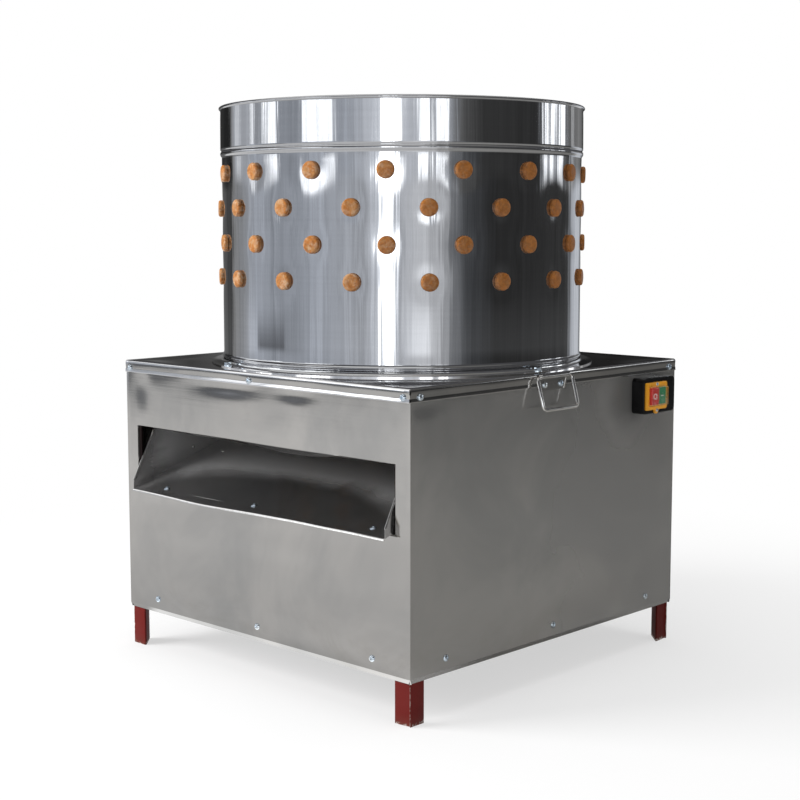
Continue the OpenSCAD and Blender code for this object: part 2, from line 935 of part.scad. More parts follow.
module water_slinger() {
  color("dimgray")
    translate([0, 0, slinger_z]) ring(bearing_d / 2 + 6, shaft_r, slinger_t);
}

module bearing_housing() {
  seat_r = bearing_d / 2 + run_gap;
  color("gray")
    difference() {
      union() {
        translate([-flange_w / 2, -flange_w / 2, beam_top]) cube([flange_w, flange_w, flange_t]);
        translate([0, 0, beam_top]) cylinder(r = seat_r + housing_wall, h = housing_h);
      }
      translate([0, 0, beam_top - eps]) cylinder(r = seat_r, h = bearing_w + eps);
      translate([0, 0, housing_top - bearing_w]) cylinder(r = seat_r, h = bearing_w + eps);
      translate([0, 0, beam_top - eps]) cylinder(r = bearing_d / 2 - 5, h = housing_h + 2 * eps);
      drive_bolt_places() drive_bolt_cut();
    }
}

module shaft_bearings() {
  color("lightsteelblue")
    for (z = [beam_top, housing_top - bearing_w])
      translate([0, 0, z])
        difference() {
          ring(bearing_d / 2, shaft_r + run_gap, bearing_w);
          for (face = [-1.5, bearing_w - 1.5])
            translate([0, 0, face]) ring(bearing_d / 2 - 5, shaft_r + 6, 3);
        }
}

// Belt drive

module pulley_profile(r_out, r_bore) {
  groove = belt_w / 2 + belt_gap;
  groove_low = groove - belt_groove_h * tan(belt_flank);
  r_low = r_out - belt_groove_h;
  half = pulley_w / 2;
  polygon([
    [r_bore, -half], [r_out, -half],
    [r_out, -belt_pitch / 2 - groove], [r_low, -belt_pitch / 2 - groove_low],
    [r_low, -belt_pitch / 2 + groove_low], [r_out, -belt_pitch / 2 + groove],
    [r_out, belt_pitch / 2 - groove], [r_low, belt_pitch / 2 - groove_low],
    [r_low, belt_pitch / 2 + groove_low], [r_out, belt_pitch / 2 + groove],
    [r_out, half], [r_bore, half]
  ]);
}

module driven_pulley() {
  rim_in = big_pulley_d / 2 - belt_groove_h - 8;
  web_half = 6;
  color("dimgray")
    difference() {
      translate([0, 0, pulley_mid]) rotate_extrude($fn = 128) pulley_profile(big_pulley_d / 2, shaft_r);
      for (z = [pulley_low - eps, pulley_mid + web_half])
        translate([0, 0, z])
          ring(rim_in, shaft_r + 16, pulley_w / 2 - web_half + eps);
      for (i = [0 : 4])
        rotate([0, 0, i * 72])
          translate([(rim_in + shaft_r + 16) / 2, 0, pulley_low])
            cylinder(r = (rim_in - shaft_r - 16) / 2 - 16, h = pulley_w);
    }
}

module pulley_retainer() {
  color("gainsboro") {
    translate([0, 0, shaft_low - retainer_t]) cylinder(r = shaft_r + 8, h = retainer_t);
    translate([0, 0, shaft_low - retainer_t - 7]) cylinder(d = 20, h = 7 + eps, $fn = 6);
  }
}

module belt_section(r_out) {
  low = belt_w / 2 - belt_h * tan(belt_flank);
  polygon([[r_out, -belt_w / 2], [r_out, belt_w / 2], [r_out - belt_h, low], [r_out - belt_h, -low]]);
}

module belt() {
  rotate([0, 0, 90]) {
    rotate([0, 0, belt_turn])
      rotate_extrude(angle = 360 - 2 * belt_turn, $fn = 128) belt_section(big_pulley_d / 2);
    translate([motor_y, 0, 0])
      rotate([0, 0, -belt_turn])
        rotate_extrude(angle = 2 * belt_turn) belt_section(small_pulley_d / 2);
    for (s = [0, 1])
      mirror([0, s, 0])
        rotate([0, 0, belt_turn])
          rotate([90, 0, 0])
            linear_extrude(belt_run) belt_section(big_pulley_d / 2);
  }
}

module drive_belts() {
  color("black")
    for (s = [-1, 1])
      translate([0, 0, pulley_mid + s * belt_pitch / 2]) belt();
}

module drive_bolts() {
  color("gainsboro")
    drive_bolt_places() hex_bolt(drive_bolt_d, drive_bolt_flats, drive_bolt_l);
}

// Motor

module motor_plate() {
  plate_x = beam_x + beam_w + 5;
  plate_y = motor_y - motor_r - 13;
  color("firebrick")
    difference() {
      translate([-plate_x, plate_y, beam_top])
        cube([2 * plate_x, rail_half - iron_w - plate_y - 2, motor_plate_t]);
      translate([0, motor_y, beam_top - 5]) cylinder(d = motor_shaft_d + 30, h = 30);
      drive_bolt_places() drive_bolt_cut();
    }
}

module motor_casing() {
  color("steelblue")
    translate([0, motor_y, motor_base])
      difference() {
        union() {
          cylinder(r = motor_r - 14, h = motor_h);
          translate([0, 0, motor_shield_t]) cylinder(r = motor_r, h = motor_h - motor_shield_t);
          for (i = [0 : motor_fins - 1])
            rotate([0, 0, (i + 0.5) * 360 / motor_fins])
              translate([motor_r - 2, -1.5, motor_shield_t + 8])
                cube([motor_fin + 2, 3, motor_h - motor_shield_t - 16]);
        }
        translate([0, 0, motor_shield_t + 4]) cylinder(r = motor_r - motor_wall, h = motor_h - 2 * motor_shield_t);
        translate([0, 0, -eps]) cylinder(r = motor_shaft_d / 2 + run_gap, h = motor_h + 2 * eps);
      }
}

module motor_fan_cover() {
  color("steelblue")
    translate([0, motor_y, motor_top])
      difference() {
        cylinder(r = motor_r + 2, h = fan_cover_h);
        translate([0, 0, -eps]) cylinder(r = motor_r, h = fan_cover_h - 2 + eps);
        for (ring_r = [0.35, 0.55, 0.75])
          for (i = [0 : 11])
            rotate([0, 0, i * 30])
              translate([ring_r * motor_r, 0, fan_cover_h - 10]) cylinder(d = ring_r * 20, h = 20, $fn = 24);
      }
}

module stator_core() {
  color("peru")
    translate([0, motor_y, core_low]) ring(motor_r - motor_wall - 0.1, core_in, core_h);
}

module motor_rotor() {
  shaft_high = motor_top + fan_cover_h - 12;
  color("slategray") {
    translate([0, motor_y, shaft_low]) cylinder(d = motor_shaft_d, h = shaft_high - shaft_low);
    translate([0, motor_y, core_low]) cylinder(r = core_in - rotor_gap, h = core_h);
  }
}

module motor_fan() {
  fan_z = motor_top + fan_lift;
  fan_h = fan_cover_h - fan_lift - fan_head;
  color("dimgray")
    translate([0, motor_y, fan_z])
      difference() {
        union() {
          cylinder(r = fan_r, h = fan_plate_t);
          cylinder(d = motor_shaft_d + 14, h = fan_h);
          for (i = [0 : 7])
            rotate([0, 0, i * 45])
              translate([motor_shaft_d / 2 + 3, -1.5, 0]) cube([fan_r - motor_shaft_d / 2 - 5, 3, fan_h]);
        }
        translate([0, 0, -eps]) cylinder(d = motor_shaft_d, h = fan_h + 2 * eps);
      }
}

module motor_pulley() {
  color("dimgray")
    translate([0, motor_y, pulley_mid]) rotate_extrude() pulley_profile(small_pulley_d / 2, motor_shaft_d / 2);
}

module terminal_box() {
  color("steelblue")
    translate([motor_r - terminal_t, motor_y - terminal_w / 2, motor_base + terminal_lift])
      difference() {
        cube([terminal_d, terminal_w, terminal_h]);
        translate([motor_wall, terminal_t, terminal_t])
          cube([terminal_d - motor_wall - terminal_t, terminal_w - 2 * terminal_t, terminal_h - 2 * terminal_t]);
        translate([-motor_r + terminal_t, terminal_w / 2, -terminal_t])
          cylinder(r = motor_r + motor_fin + pass_gap, h = terminal_h + 2 * terminal_t, $fn = 128);
      }
}

module motor_capacitor() {
  color("black")
    translate([-motor_r - motor_fin - cap_r - pass_gap, motor_y, motor_base]) {
      cylinder(r = cap_r, h = capacitor_h);
      translate([0, 0, capacitor_h - eps]) cylinder(r = cap_r - cap_step, h = cap_top_h);
    }
}

// Switch

module on_switch() {
  on_face(1, switch_along, panel_half, switch_mid) children();
}

module on_plate() {
  on_switch() translate([-plate_shift, 0, 0]) children();
}

module plate_screw_places() {
  for (y = [plate_h / 2 - plate_screw_in, -plate_h / 2 - plate_tab_out])
    on_plate() translate([0, y, switch_d + plate_t]) children();
}

module switch_box() {
  color("black")
    difference() {
      on_switch() rounded_plate(switch_w, switch_h, switch_r, switch_d);
      on_switch()
        translate([0, 0, -eps])
          rounded_plate(switch_w - 2 * switch_wall, switch_h - 2 * switch_wall,
            switch_r - switch_wall, switch_d - switch_wall + eps);
      on_plate()
        translate([-window_w / 2, -window_h / 2, 0]) cube([window_w, window_h, switch_d + eps]);
      plate_screw_places() translate([0, 0, -15]) cylinder(d = plate_screw_d + 2 * shank_gap, h = 20);
    }
}

module switch_contacts() {
  contacts_d = button_back - button_travel - 1;
  color("dimgray")
    on_plate() translate([0, 0, contacts_d / 2]) cube([window_w - 2, window_h - 2, contacts_d], center = true);
}

module switch_plate() {
  color("gold")
    difference() {
      union() {
        on_plate() translate([0, 0, switch_d]) rounded_plate(plate_w, plate_h, 3, plate_t);
        on_plate() translate([0, -plate_h / 2 - plate_tab_out, switch_d]) cylinder(r = tab_r, h = plate_t);
      }
      on_plate()
        translate([-window_w / 2, -window_h / 2, switch_d - eps]) cube([window_w, window_h, plate_t + 2 * eps]);
      plate_screw_places() translate([0, 0, -15]) cylinder(d = plate_screw_d + 2 * shank_gap, h = 20);
    }
}

// a button block, its left edge at x, standing out of the plate by out
module button_block(x, out) {
  on_plate()
    translate([x, -button_h / 2, button_back]) cube([button_w, button_h, switch_d + plate_t + out - button_back]);
}

module stop_button() {
  color("red")
    button_block(-button_w - button_gap / 2, stop_out);
}

module start_button() {
  color("green")
    button_block(button_gap / 2, start_out);
}

module button_hood() {
  color("white", 0.4)
    on_plate()
      translate([0, 0, switch_d + plate_t])
        difference() {
          rounded_plate(hood_w, hood_h, 2.5, hood_d);
          translate([0, 0, -eps])
            rounded_plate(hood_w - 2 * hood_wall, hood_h - 2 * hood_wall, 1.5, hood_d - hood_wall + eps);
        }
}

// Handles

module on_pivot(k) {
  on_side(k) translate([handle_x, -pivot_half, pivot_z]) children();
}

module quarter_bend() {
  rotate_extrude(angle = 90) translate([wire_bend, 0]) circle(r = wire_r, $fn = 24);
}

// closed wire loop, its upper bar along X through the origin, hanging down
module wire_loop() {
  half_w = handle_w / 2;
  bar = handle_w - 2 * wire_bend;
  post = handle_h - 2 * wire_bend;
  for (z = [0, -handle_h])
    translate([-bar / 2, 0, z]) rotate([0, 90, 0]) cylinder(r = wire_r, h = bar, $fn = 24);
  for (s = [-1, 1])
    translate([s * half_w, 0, -handle_h + wire_bend]) cylinder(r = wire_r, h = post, $fn = 24);
  for (q = [[1, -1, 0], [-1, -1, 90], [-1, -handle_h + wire_bend, 180], [1, -handle_h + wire_bend, 270]])
    translate([q[0] * bar / 2, 0, q[1] == -1 ? -wire_bend : q[1]])
      rotate([90, 0, 0]) rotate([0, 0, q[2]]) quarter_bend();
}

module handle(k) {
  color("gainsboro")
    on_pivot(k) rotate([-handle_tilt, 0, 0]) wire_loop();
}

module right_handle() {
  handle(1);
}

module left_handle() {
  handle(3);
}

module handle_brackets() {
  color("gainsboro")
    for (k = [1, 3])
      difference() {
        union() {
          on_pivot(k)
            translate([-knuckle_l / 2, 0, 0]) rotate([0, 90, 0]) cylinder(r = knuckle_r, h = knuckle_l, $fn = 32);
          on_side(k)
            translate([handle_x - knuckle_l / 2, -cover_half - bracket_t, pivot_z - bracket_h])
              cube([knuckle_l, bracket_t, bracket_h]);
        }
        on_side(k)
          translate([handle_x - knuckle_l, -cover_half, pivot_z - bracket_h])
            cube([2 * knuckle_l, cover_margin, 2 * bracket_h]);
        on_pivot(k)
          translate([-knuckle_l, 0, 0])
            rotate([0, 90, 0]) cylinder(r = wire_r + run_gap, h = 2 * knuckle_l, $fn = 24);
        bracket_screw_places(k) shank_cut();
      }
}

// Fasteners and grommet

module sheet_screws() {
  color("gainsboro") {
    for (k = [0 : 3]) {
      skirt_screw_places(k) pan_screw(screw_d, screw_head_d, screw_head_h, screw_l);
      panel_screw_places(k) pan_screw(screw_d, screw_head_d, screw_head_h, screw_l);
      if (k % 2 == 1) bracket_screw_places(k) pan_screw(screw_d, screw_head_d, screw_head_h, screw_l);
    }
    chute_screw_places() pan_screw(screw_d, screw_head_d, screw_head_h * 0.7, screw_l / 2);
    plate_screw_places() pan_screw(plate_screw_d, plate_screw_head_d, plate_screw_head_h, plate_screw_l);
  }
}

module cable_grommet() {
  neck_r = grommet_bore / 2 + 3.5;
  color("black")
    translate([grommet_x, panel_half, grommet_mid])
      rotate([-90, 0, 0])
        difference() {
          union() {
            cylinder(r = neck_r + 4, h = 3);
            translate([0, 0, -sheet_t - eps]) cylinder(r = neck_r, h = sheet_t + 2 * eps);
            translate([0, 0, -sheet_t - 4]) cylinder(r = neck_r + 3, h = 4);
          }
          translate([0, 0, -20]) cylinder(d = grommet_bore, h = 40);
        }
}

leg_front_left();
leg_front_right();
leg_rear_right();
leg_rear_left();
top_rail_front();
top_rail_right();
top_rail_rear();
top_rail_left();
bottom_rail_front();
bottom_rail_right();
bottom_rail_rear();
bottom_rail_left();
mid_rail_front();
mid_rail_rear();
bearing_beam_left();
bearing_beam_right();
front_panel();
right_panel();
rear_panel();
left_panel();
top_cover();
chute_floor();
chute_left_side();
chute_right_side();
shaft_collar();
drum_shell();
drum_foot_ring();
drum_fingers();
hold_down_bolts();
plucking_disc();
disc_fingers();
disc_cap_nut();
main_shaft();
water_slinger();
bearing_housing();
shaft_bearings();
driven_pulley();
pulley_retainer();
motor_plate();
motor_casing();
motor_fan_cover();
stator_core();
terminal_box();
motor_capacitor();
motor_rotor();
motor_fan();
motor_pulley();
drive_belts();
drive_bolts();
switch_box();
switch_contacts();
switch_plate();
stop_button();
start_button();
button_hood();
right_handle();
left_handle();
handle_brackets();
sheet_screws();
cable_grommet();
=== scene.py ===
"""Looks of a drum poultry plucker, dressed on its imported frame. Lengths in the classes are millimetres."""

import json
import logging
import math
from dataclasses import dataclass, field
from enum import Enum
from typing import Any, Callable, ClassVar, Iterable, Sequence

import bmesh
import bpy
from mathutils import Matrix, Vector, noise


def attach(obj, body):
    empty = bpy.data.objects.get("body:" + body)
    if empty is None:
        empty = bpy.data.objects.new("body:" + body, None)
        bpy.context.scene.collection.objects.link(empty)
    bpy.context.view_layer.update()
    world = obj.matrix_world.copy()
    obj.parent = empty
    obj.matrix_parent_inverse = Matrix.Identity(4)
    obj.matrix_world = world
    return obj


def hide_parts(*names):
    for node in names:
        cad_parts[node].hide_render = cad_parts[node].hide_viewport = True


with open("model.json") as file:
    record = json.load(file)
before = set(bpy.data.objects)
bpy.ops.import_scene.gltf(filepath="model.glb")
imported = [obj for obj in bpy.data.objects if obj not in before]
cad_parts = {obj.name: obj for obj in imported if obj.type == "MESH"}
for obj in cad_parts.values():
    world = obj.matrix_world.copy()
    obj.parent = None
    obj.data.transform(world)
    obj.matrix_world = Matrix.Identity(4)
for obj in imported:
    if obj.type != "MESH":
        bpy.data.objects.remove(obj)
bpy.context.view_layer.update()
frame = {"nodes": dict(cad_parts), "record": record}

LOG = logging.getLogger("plucker")
MM = 0.001  # metres in a millimetre
WELD = 1e-4  # millimetres within which two points are one
Triple = tuple[float, float, float]
Colour = Triple
Point = tuple[float, float]


class Body(str, Enum):
    """The moving groups of the machine."""

    CABINET = "cabinet"
    TURNTABLE = "turntable"
    STOP = "stop_knob"
    START = "start_knob"
    RIGHT_HANDLE = "handle_right"
    LEFT_HANDLE = "handle_left"


class Side(Enum):
    """The four sides of the cabinet, counted from the front against the clock."""

    FRONT = 0
    RIGHT = 1
    REAR = 2
    LEFT = 3

    @property
    def turn(self) -> Matrix:
        """The turn that takes a piece of the front to this side."""
        return Matrix.Rotation(self.value * math.pi / 2, 4, "Z")


class Grain(Enum):
    """Which way the rolling marks of a steel sheet run."""

    LEVEL = (3.0, 3.0, 260.0)
    UPRIGHT = (170.0, 170.0, 1.4)
    DEEP = (190.0, 3.0, 3.0)


def smooth_step(low: float, high: float, value: float) -> float:
    """Rises softly from 0 at low to 1 at high."""
    t = min(1.0, max(0.0, (value - low) / (high - low)))
    return t * t * (3 - 2 * t)


def hump(distance: float, width: float) -> float:
    """A bell of height 1 that has faded at about twice its width."""
    return math.exp(-((distance / width) ** 2))


class Value:
    """A shader socket that takes part in Python arithmetic."""

    def __init__(self, tree: bpy.types.NodeTree, socket: bpy.types.NodeSocket) -> None:
        """Wraps one output socket of a node tree."""
        self.tree = tree
        self.socket = socket

    def _math(self, operation: str, first: "Value | float", second: "Value | float" = 0.0) -> "Value":
        """Adds one Math node.

        Args:
            operation: The Math node's operation.
            first: Its first operand.
            second: Its second operand.

        Returns:
            The node's result.
        """
        node = self.tree.nodes.new("ShaderNodeMath")
        node.operation = operation
        for slot, operand in zip(node.inputs, (first, second)):
            if isinstance(operand, Value):
                self.tree.links.new(operand.socket, slot)
            else:
                slot.default_value = operand
        return Value(self.tree, node.outputs[0])

    def __add__(self, other: "Value | float") -> "Value":
        """Sum of two values."""
        return self._math("ADD", self, other)

    __radd__ = __add__

    def __mul__(self, other: "Value | float") -> "Value":
        """Product of two values."""
        return self._math("MULTIPLY", self, other)

    __rmul__ = __mul__

    def __sub__(self, other: "Value | float") -> "Value":
        """Difference of two values."""
        return self._math("SUBTRACT", self, other)

    def __rsub__(self, other: float) -> "Value":
        """A number less this value."""
        return self._math("SUBTRACT", other, self)

    def __pow__(self, other: float) -> "Value":
        """This value raised to a power."""
        return self._math("POWER", self, other)

    def __abs__(self) -> "Value":
        """The value without its sign."""
        return self._math("ABSOLUTE", self)

    def least(self, other: "Value | float") -> "Value":
        """The smaller of two values."""
        return self._math("MINIMUM", self, other)

    def most(self, other: "Value | float") -> "Value":
        """The larger of two values."""
        return self._math("MAXIMUM", self, other)

    def heading(self, east: "Value") -> "Value":
        """The angle of the point whose north part is this value, in radians."""
        return self._math("ARCTAN2", self, east)


class Recipe:
    """A node tree under construction."""

    def __init__(self, tree: bpy.types.NodeTree) -> None:
        """Starts from an empty tree."""
        self.tree = tree
        tree.nodes.clear()

    def node(
        self, kind: str, settings: dict[str, Any] | None = None, inputs: dict[Any, Any] | None = None, output: Any = 0
    ) -> Value:
        """Adds one node.

        Args:
            kind: The node's type.
            settings: Its settings, set first. The stops of a ramp are (place, colour) pairs.
            inputs: A number, colour or Value for each named or numbered socket.
            output: The name or number of the socket to return.

        Returns:
            The chosen output.
        """
        made = self.tree.nodes.new(kind)
        for name, setting in (settings or {}).items():
            if name == "stops":
                elements = made.color_ramp.elements
                while len(elements) < len(setting):
                    elements.new(1.0)
                for element, (place, colour) in zip(elements, setting):
                    element.position = place
                    element.color = (*colour, 1.0)
            else:
                setattr(made, name, setting)
        for name, value in (inputs or {}).items():
            if isinstance(value, Value):
                self.tree.links.new(value.socket, made.inputs[name])
            elif isinstance(value, tuple) and made.inputs[name].type == "RGBA" and len(value) == 3:
                made.inputs[name].default_value = (*value, 1.0)
            else:
                made.inputs[name].default_value = value
        return Value(self.tree, made.outputs[output])

    def place(self) -> Value:
        """The point on the piece, in metres."""
        return self.node("ShaderNodeTexCoord", output="Object")

    def part(self, vector: Value, axis: str) -> Value:
        """One of X, Y and Z of a vector."""
        return self.node("ShaderNodeSeparateXYZ", inputs={"Vector": vector}, output=axis)

    def clouds(self, vector: Value, scale: float, detail: float = 3.0, rough: float = 0.55, bend: float = 0.0) -> Value:
        """Soft noise between 0 and 1."""
        shape = {"Scale": scale, "Detail": detail, "Roughness": rough, "Distortion": bend}
        return self.node("ShaderNodeTexNoise", inputs={"Vector": vector, **shape})

    def drawn(
        self, vector: Value, scale: Triple, detail: float, rough: float, bend: float = 0.0,
        turn: Triple = (0.0, 0.0, 0.0),
    ) -> Value:
        """Soft noise with a scale of its own along each axis.

        Args:
            vector: The point.
            scale: How fine the noise is along X, Y and Z.
            detail: How many finer layers it has.
            rough: How much those show.
            bend: How much it is swirled.
            turn: How the axes are turned first, in radians.

        Returns:
            The noise, between 0 and 1.
        """
        spread = self.node("ShaderNodeMapping", inputs={"Vector": vector, "Rotation": turn, "Scale": scale})
        return self.clouds(spread, 1.0, detail, rough, bend)

    def cells(self, vector: Value, scale: float) -> Value:
        """Distance within a field of cells."""
        return self.node("ShaderNodeTexVoronoi", inputs={"Vector": vector, "Scale": scale})

    def ease(self, value: Value, low: float, high: float) -> Value:
        """Rises softly from 0 at low to 1 at high, or falls where low is the larger."""
        limits = {"Value": value, "From Min": low, "From Max": high}
        return self.node("ShaderNodeMapRange", {"interpolation_type": "SMOOTHSTEP"}, limits)

    def blend(self, first: Any, second: Any, share: Any, mode: str = "MIX") -> Value:
        """A colour between two others, or mixed from them in another mode."""
        settings = {"data_type": "RGBA", "blend_type": mode}
        return self.node("ShaderNodeMix", settings, {0: share, 6: first, 7: second}, 2)

    def shaded(self, tone: Colour, low: float, high: float, share: Value) -> Value:
        """A colour between two shades of one tone, given as shares of it."""
        dark, light = (tuple(min(1.0, c * level) for c in tone) for level in (low, high))
        return self.blend(dark, light, share)

    def tinted(self, first: Any, second: Any) -> Value:
        """One colour multiplied by another."""
        return self.blend(first, second, 1.0, "MULTIPLY")

    def ramp(self, value: Value, *stops: tuple[float, Colour]) -> Value:
        """A colour looked up along stops."""
        return self.node("ShaderNodeValToRGB", {"stops": stops}, {0: value})

    def relief(self, height: Value, depth: float, strength: float = 1.0) -> Value:
        """A bumped normal.

        Args:
            height: The height between 0 and 1.
            depth: How many metres a height of 1 stands for.
            strength: How much of it shows.

        Returns:
            The normal.
        """
        return self.node("ShaderNodeBump", inputs={"Height": height, "Distance": depth, "Strength": strength})

    def surface(self, **sockets: Any) -> None:
        """Closes the tree with one principled shader, its sockets named with spaces as underscores."""
        named = {name.replace("_", " "): value for name, value in sockets.items()}
        self.output(self.node("ShaderNodeBsdfPrincipled", inputs=named))

    def output(self, shader: Value, kind: str = "ShaderNodeOutputMaterial") -> None:
        """Closes the tree with an output node for a shader."""
        end = self.tree.nodes.new(kind)
        self.tree.links.new(shader.socket, end.inputs["Surface"])


@dataclass(frozen=True)
class Finish:
    """A surface finish, made into one material the first time it is used."""

    name: str
    made: ClassVar[dict[str, bpy.types.Material]] = {}

    def paint(self, r: Recipe) -> None:
        """Fills the material's tree.

        Args:
            r: The material's tree, still empty.
        """
        raise NotImplementedError

    def material(self) -> bpy.types.Material:
        """The finish as a material.

        Returns:
            The material, the same one each time.
        """
        if self.name not in Finish.made:
            material = bpy.data.materials.new(self.name)
            material.use_nodes = True
            self.paint(Recipe(material.node_tree))
            Finish.made[self.name] = material
        return Finish.made[self.name]


@dataclass(frozen=True)
class SheetSteel(Finish):
    """Cold rolled stainless sheet with rolling marks, wiped smears and finger marks; on the chute a dust film with a
    painted reflection, and on the right panel a painted reflection of the switch box.
    """

    tone: Colour = (0.548, 0.545, 0.537)
    gloss: float = 0.1
    smear: float = 0.12
    grime: float = 0.0
    film: float = 0.0
    # Painted reflection of the switch box: the middle of a dark, dull, less metallic patch beside it.
    switch_reflection_at: Point | None = None
    grain: Grain = Grain.LEVEL
    dirt_tone: Colour = (0.30, 0.27, 0.225)
    film_tone: Colour = (0.68, 0.68, 0.68)
    # The dark colour of the painted reflection of the switch box.
    switch_reflection_tone: Colour = (0.093, 0.091, 0.086)
    # An ellipse before the chute's lip where the dust film gives way to clean dark metal, a painted reflection of a
    # curved dark shape on the floor.
    painted_reflection_at: Point = (0.02, -0.345)
    painted_reflection_size: Point = (0.33, 0.11)
    dullest: float = 0.255

    def paint(self, r: Recipe) -> None:
        """Adds the sheet's nodes.

        Args:
            r: The material's tree, still empty.
        """
        place = r.place()
        rolled = r.drawn(place, self.grain.value, 2.0, 0.6)
        wiped = r.drawn(place, (5.0, 5.0, 10.0), 6.0, 0.62, 1.2, (0.5, 0.3, 0.4))
        marks = r.ease(r.clouds(place, 18.0, 6.0, 0.65), 0.55, 0.75)
        haze = r.ease(r.clouds(place, 4.2, 4.0, 0.6, 0.6), 0.3, 0.72)
        dirt = r.ease(r.clouds(place, 7.0, 8.0, 0.7, 0.6), 0.46, 0.7) * self.grime
        low = r.ease(r.part(place, "Z"), 0.17, 0.06) * r.ease(wiped, 0.4, 0.7) * 0.35
        dark = tuple(c * 0.84 for c in self.tone)
        warm = tuple(c * w for c, w in zip(self.tone, (1.07, 1.05, 1.03)))
        colour = r.blend(r.blend(dark, warm, haze), self.dirt_tone, dirt.most(low * 0.6))
        rough = self.gloss + (wiped - 0.5) * self.smear + marks * self.smear * 0.45
        rough = rough + (rolled - 0.5) * 0.06 + dirt * 0.25
        normal = r.relief(rolled * 0.6 + wiped, 0.00006, 0.5)
        metal: Any = 1.0
        if self.film:
            # Pale dust film, partly painted reflection: it thins to clean dark metal inside an ellipse before the lip,
            # drawn after a curved reflection on the floor.
            x, y = (r.part(place, axis) - middle for axis, middle in zip("XY", self.painted_reflection_at))
            wide, deep = self.painted_reflection_size
            painted_reflection = x * x * (1 / wide**2) + y * y * (1 / deep**2) + (wiped - 0.5) * 0.8
            film = r.ease(painted_reflection, 0.65, 1.5) * self.film + 0.05
            metal = 1.0 - film
            colour = r.blend(colour, self.film_tone, film)
            rough = rough + film * 0.25
        # Painted reflection of the switch box: the sheet turns dark, duller and less metallic round a point beside it.
        if self.switch_reflection_at:
            y, z = (r.part(place, axis) - middle for axis, middle in zip("YZ", self.switch_reflection_at))
            switch_reflection = r.ease((y * y + z * z) ** 0.5 + (wiped - 0.5) * 0.05, 0.09, 0.025) * 0.57 + 0.28
            metal = 1.0 - switch_reflection
            colour = r.blend(colour, self.switch_reflection_tone, switch_reflection)
            rough = rough + switch_reflection * 0.12
        even = rough.most(0.04).least(self.dullest)
        r.surface(Base_Color=colour, Metallic=metal, Roughness=even, Normal=normal)


@dataclass(frozen=True)
class TubSteel(Finish):
    """Bright stainless of the tub, fluted by the rolls so that reflections stand in upright streaks."""

    tone: Colour = (0.61, 0.615, 0.63)
    gloss: float = 0.06
    flute: float = 0.0011
    seam_at: float = 1.9
    seam_tone: Colour = (0.40, 0.37, 0.34)

    def paint(self, r: Recipe) -> None:
        """Adds the tub's nodes.

        Args:
            r: The material's tree, still empty.
        """
        place = r.place()
        broad = r.drawn(place, (15.0, 15.0, 1.6), 2.0, 0.5, 0.3)
        flutes = r.drawn(place, (70.0, 70.0, 2.2), 2.0, 0.55, 0.2)
        drawn = r.drawn(place, (330.0, 330.0, 4.0), 3.0, 0.65)
        wiped = r.drawn(place, (7.0, 7.0, 4.0), 5.0, 0.62, 0.7, (0.2, 0.3, 0.0))
        marks = r.ease(r.clouds(place, 24.0, 6.0, 0.7), 0.56, 0.78)
        heading = r.part(place, "Y").heading(r.part(place, "X"))
        seam = r.ease(abs(heading - self.seam_at), 0.012, 0.004)
        rolled = r.drawn(place, (2.0, 2.0, 170.0), 2.0, 0.6)
        tint = r.shaded(self.tone, 0.86, 1.1, drawn * 0.35 + wiped * 0.3 + rolled * 0.35)
        colour = r.blend(tint, self.seam_tone, seam * 0.6)
        rough = self.gloss + (wiped - 0.5) * 0.06 + (drawn - 0.5) * 0.05 + marks * 0.06 + seam * 0.15
        height = broad + flutes * 0.3 + drawn * 0.02 + seam * 0.2
        normal = r.relief(height, self.flute)
        r.surface(Base_Color=colour, Metallic=1.0, Roughness=rough.most(0.035), Normal=normal, Anisotropic=0.4)


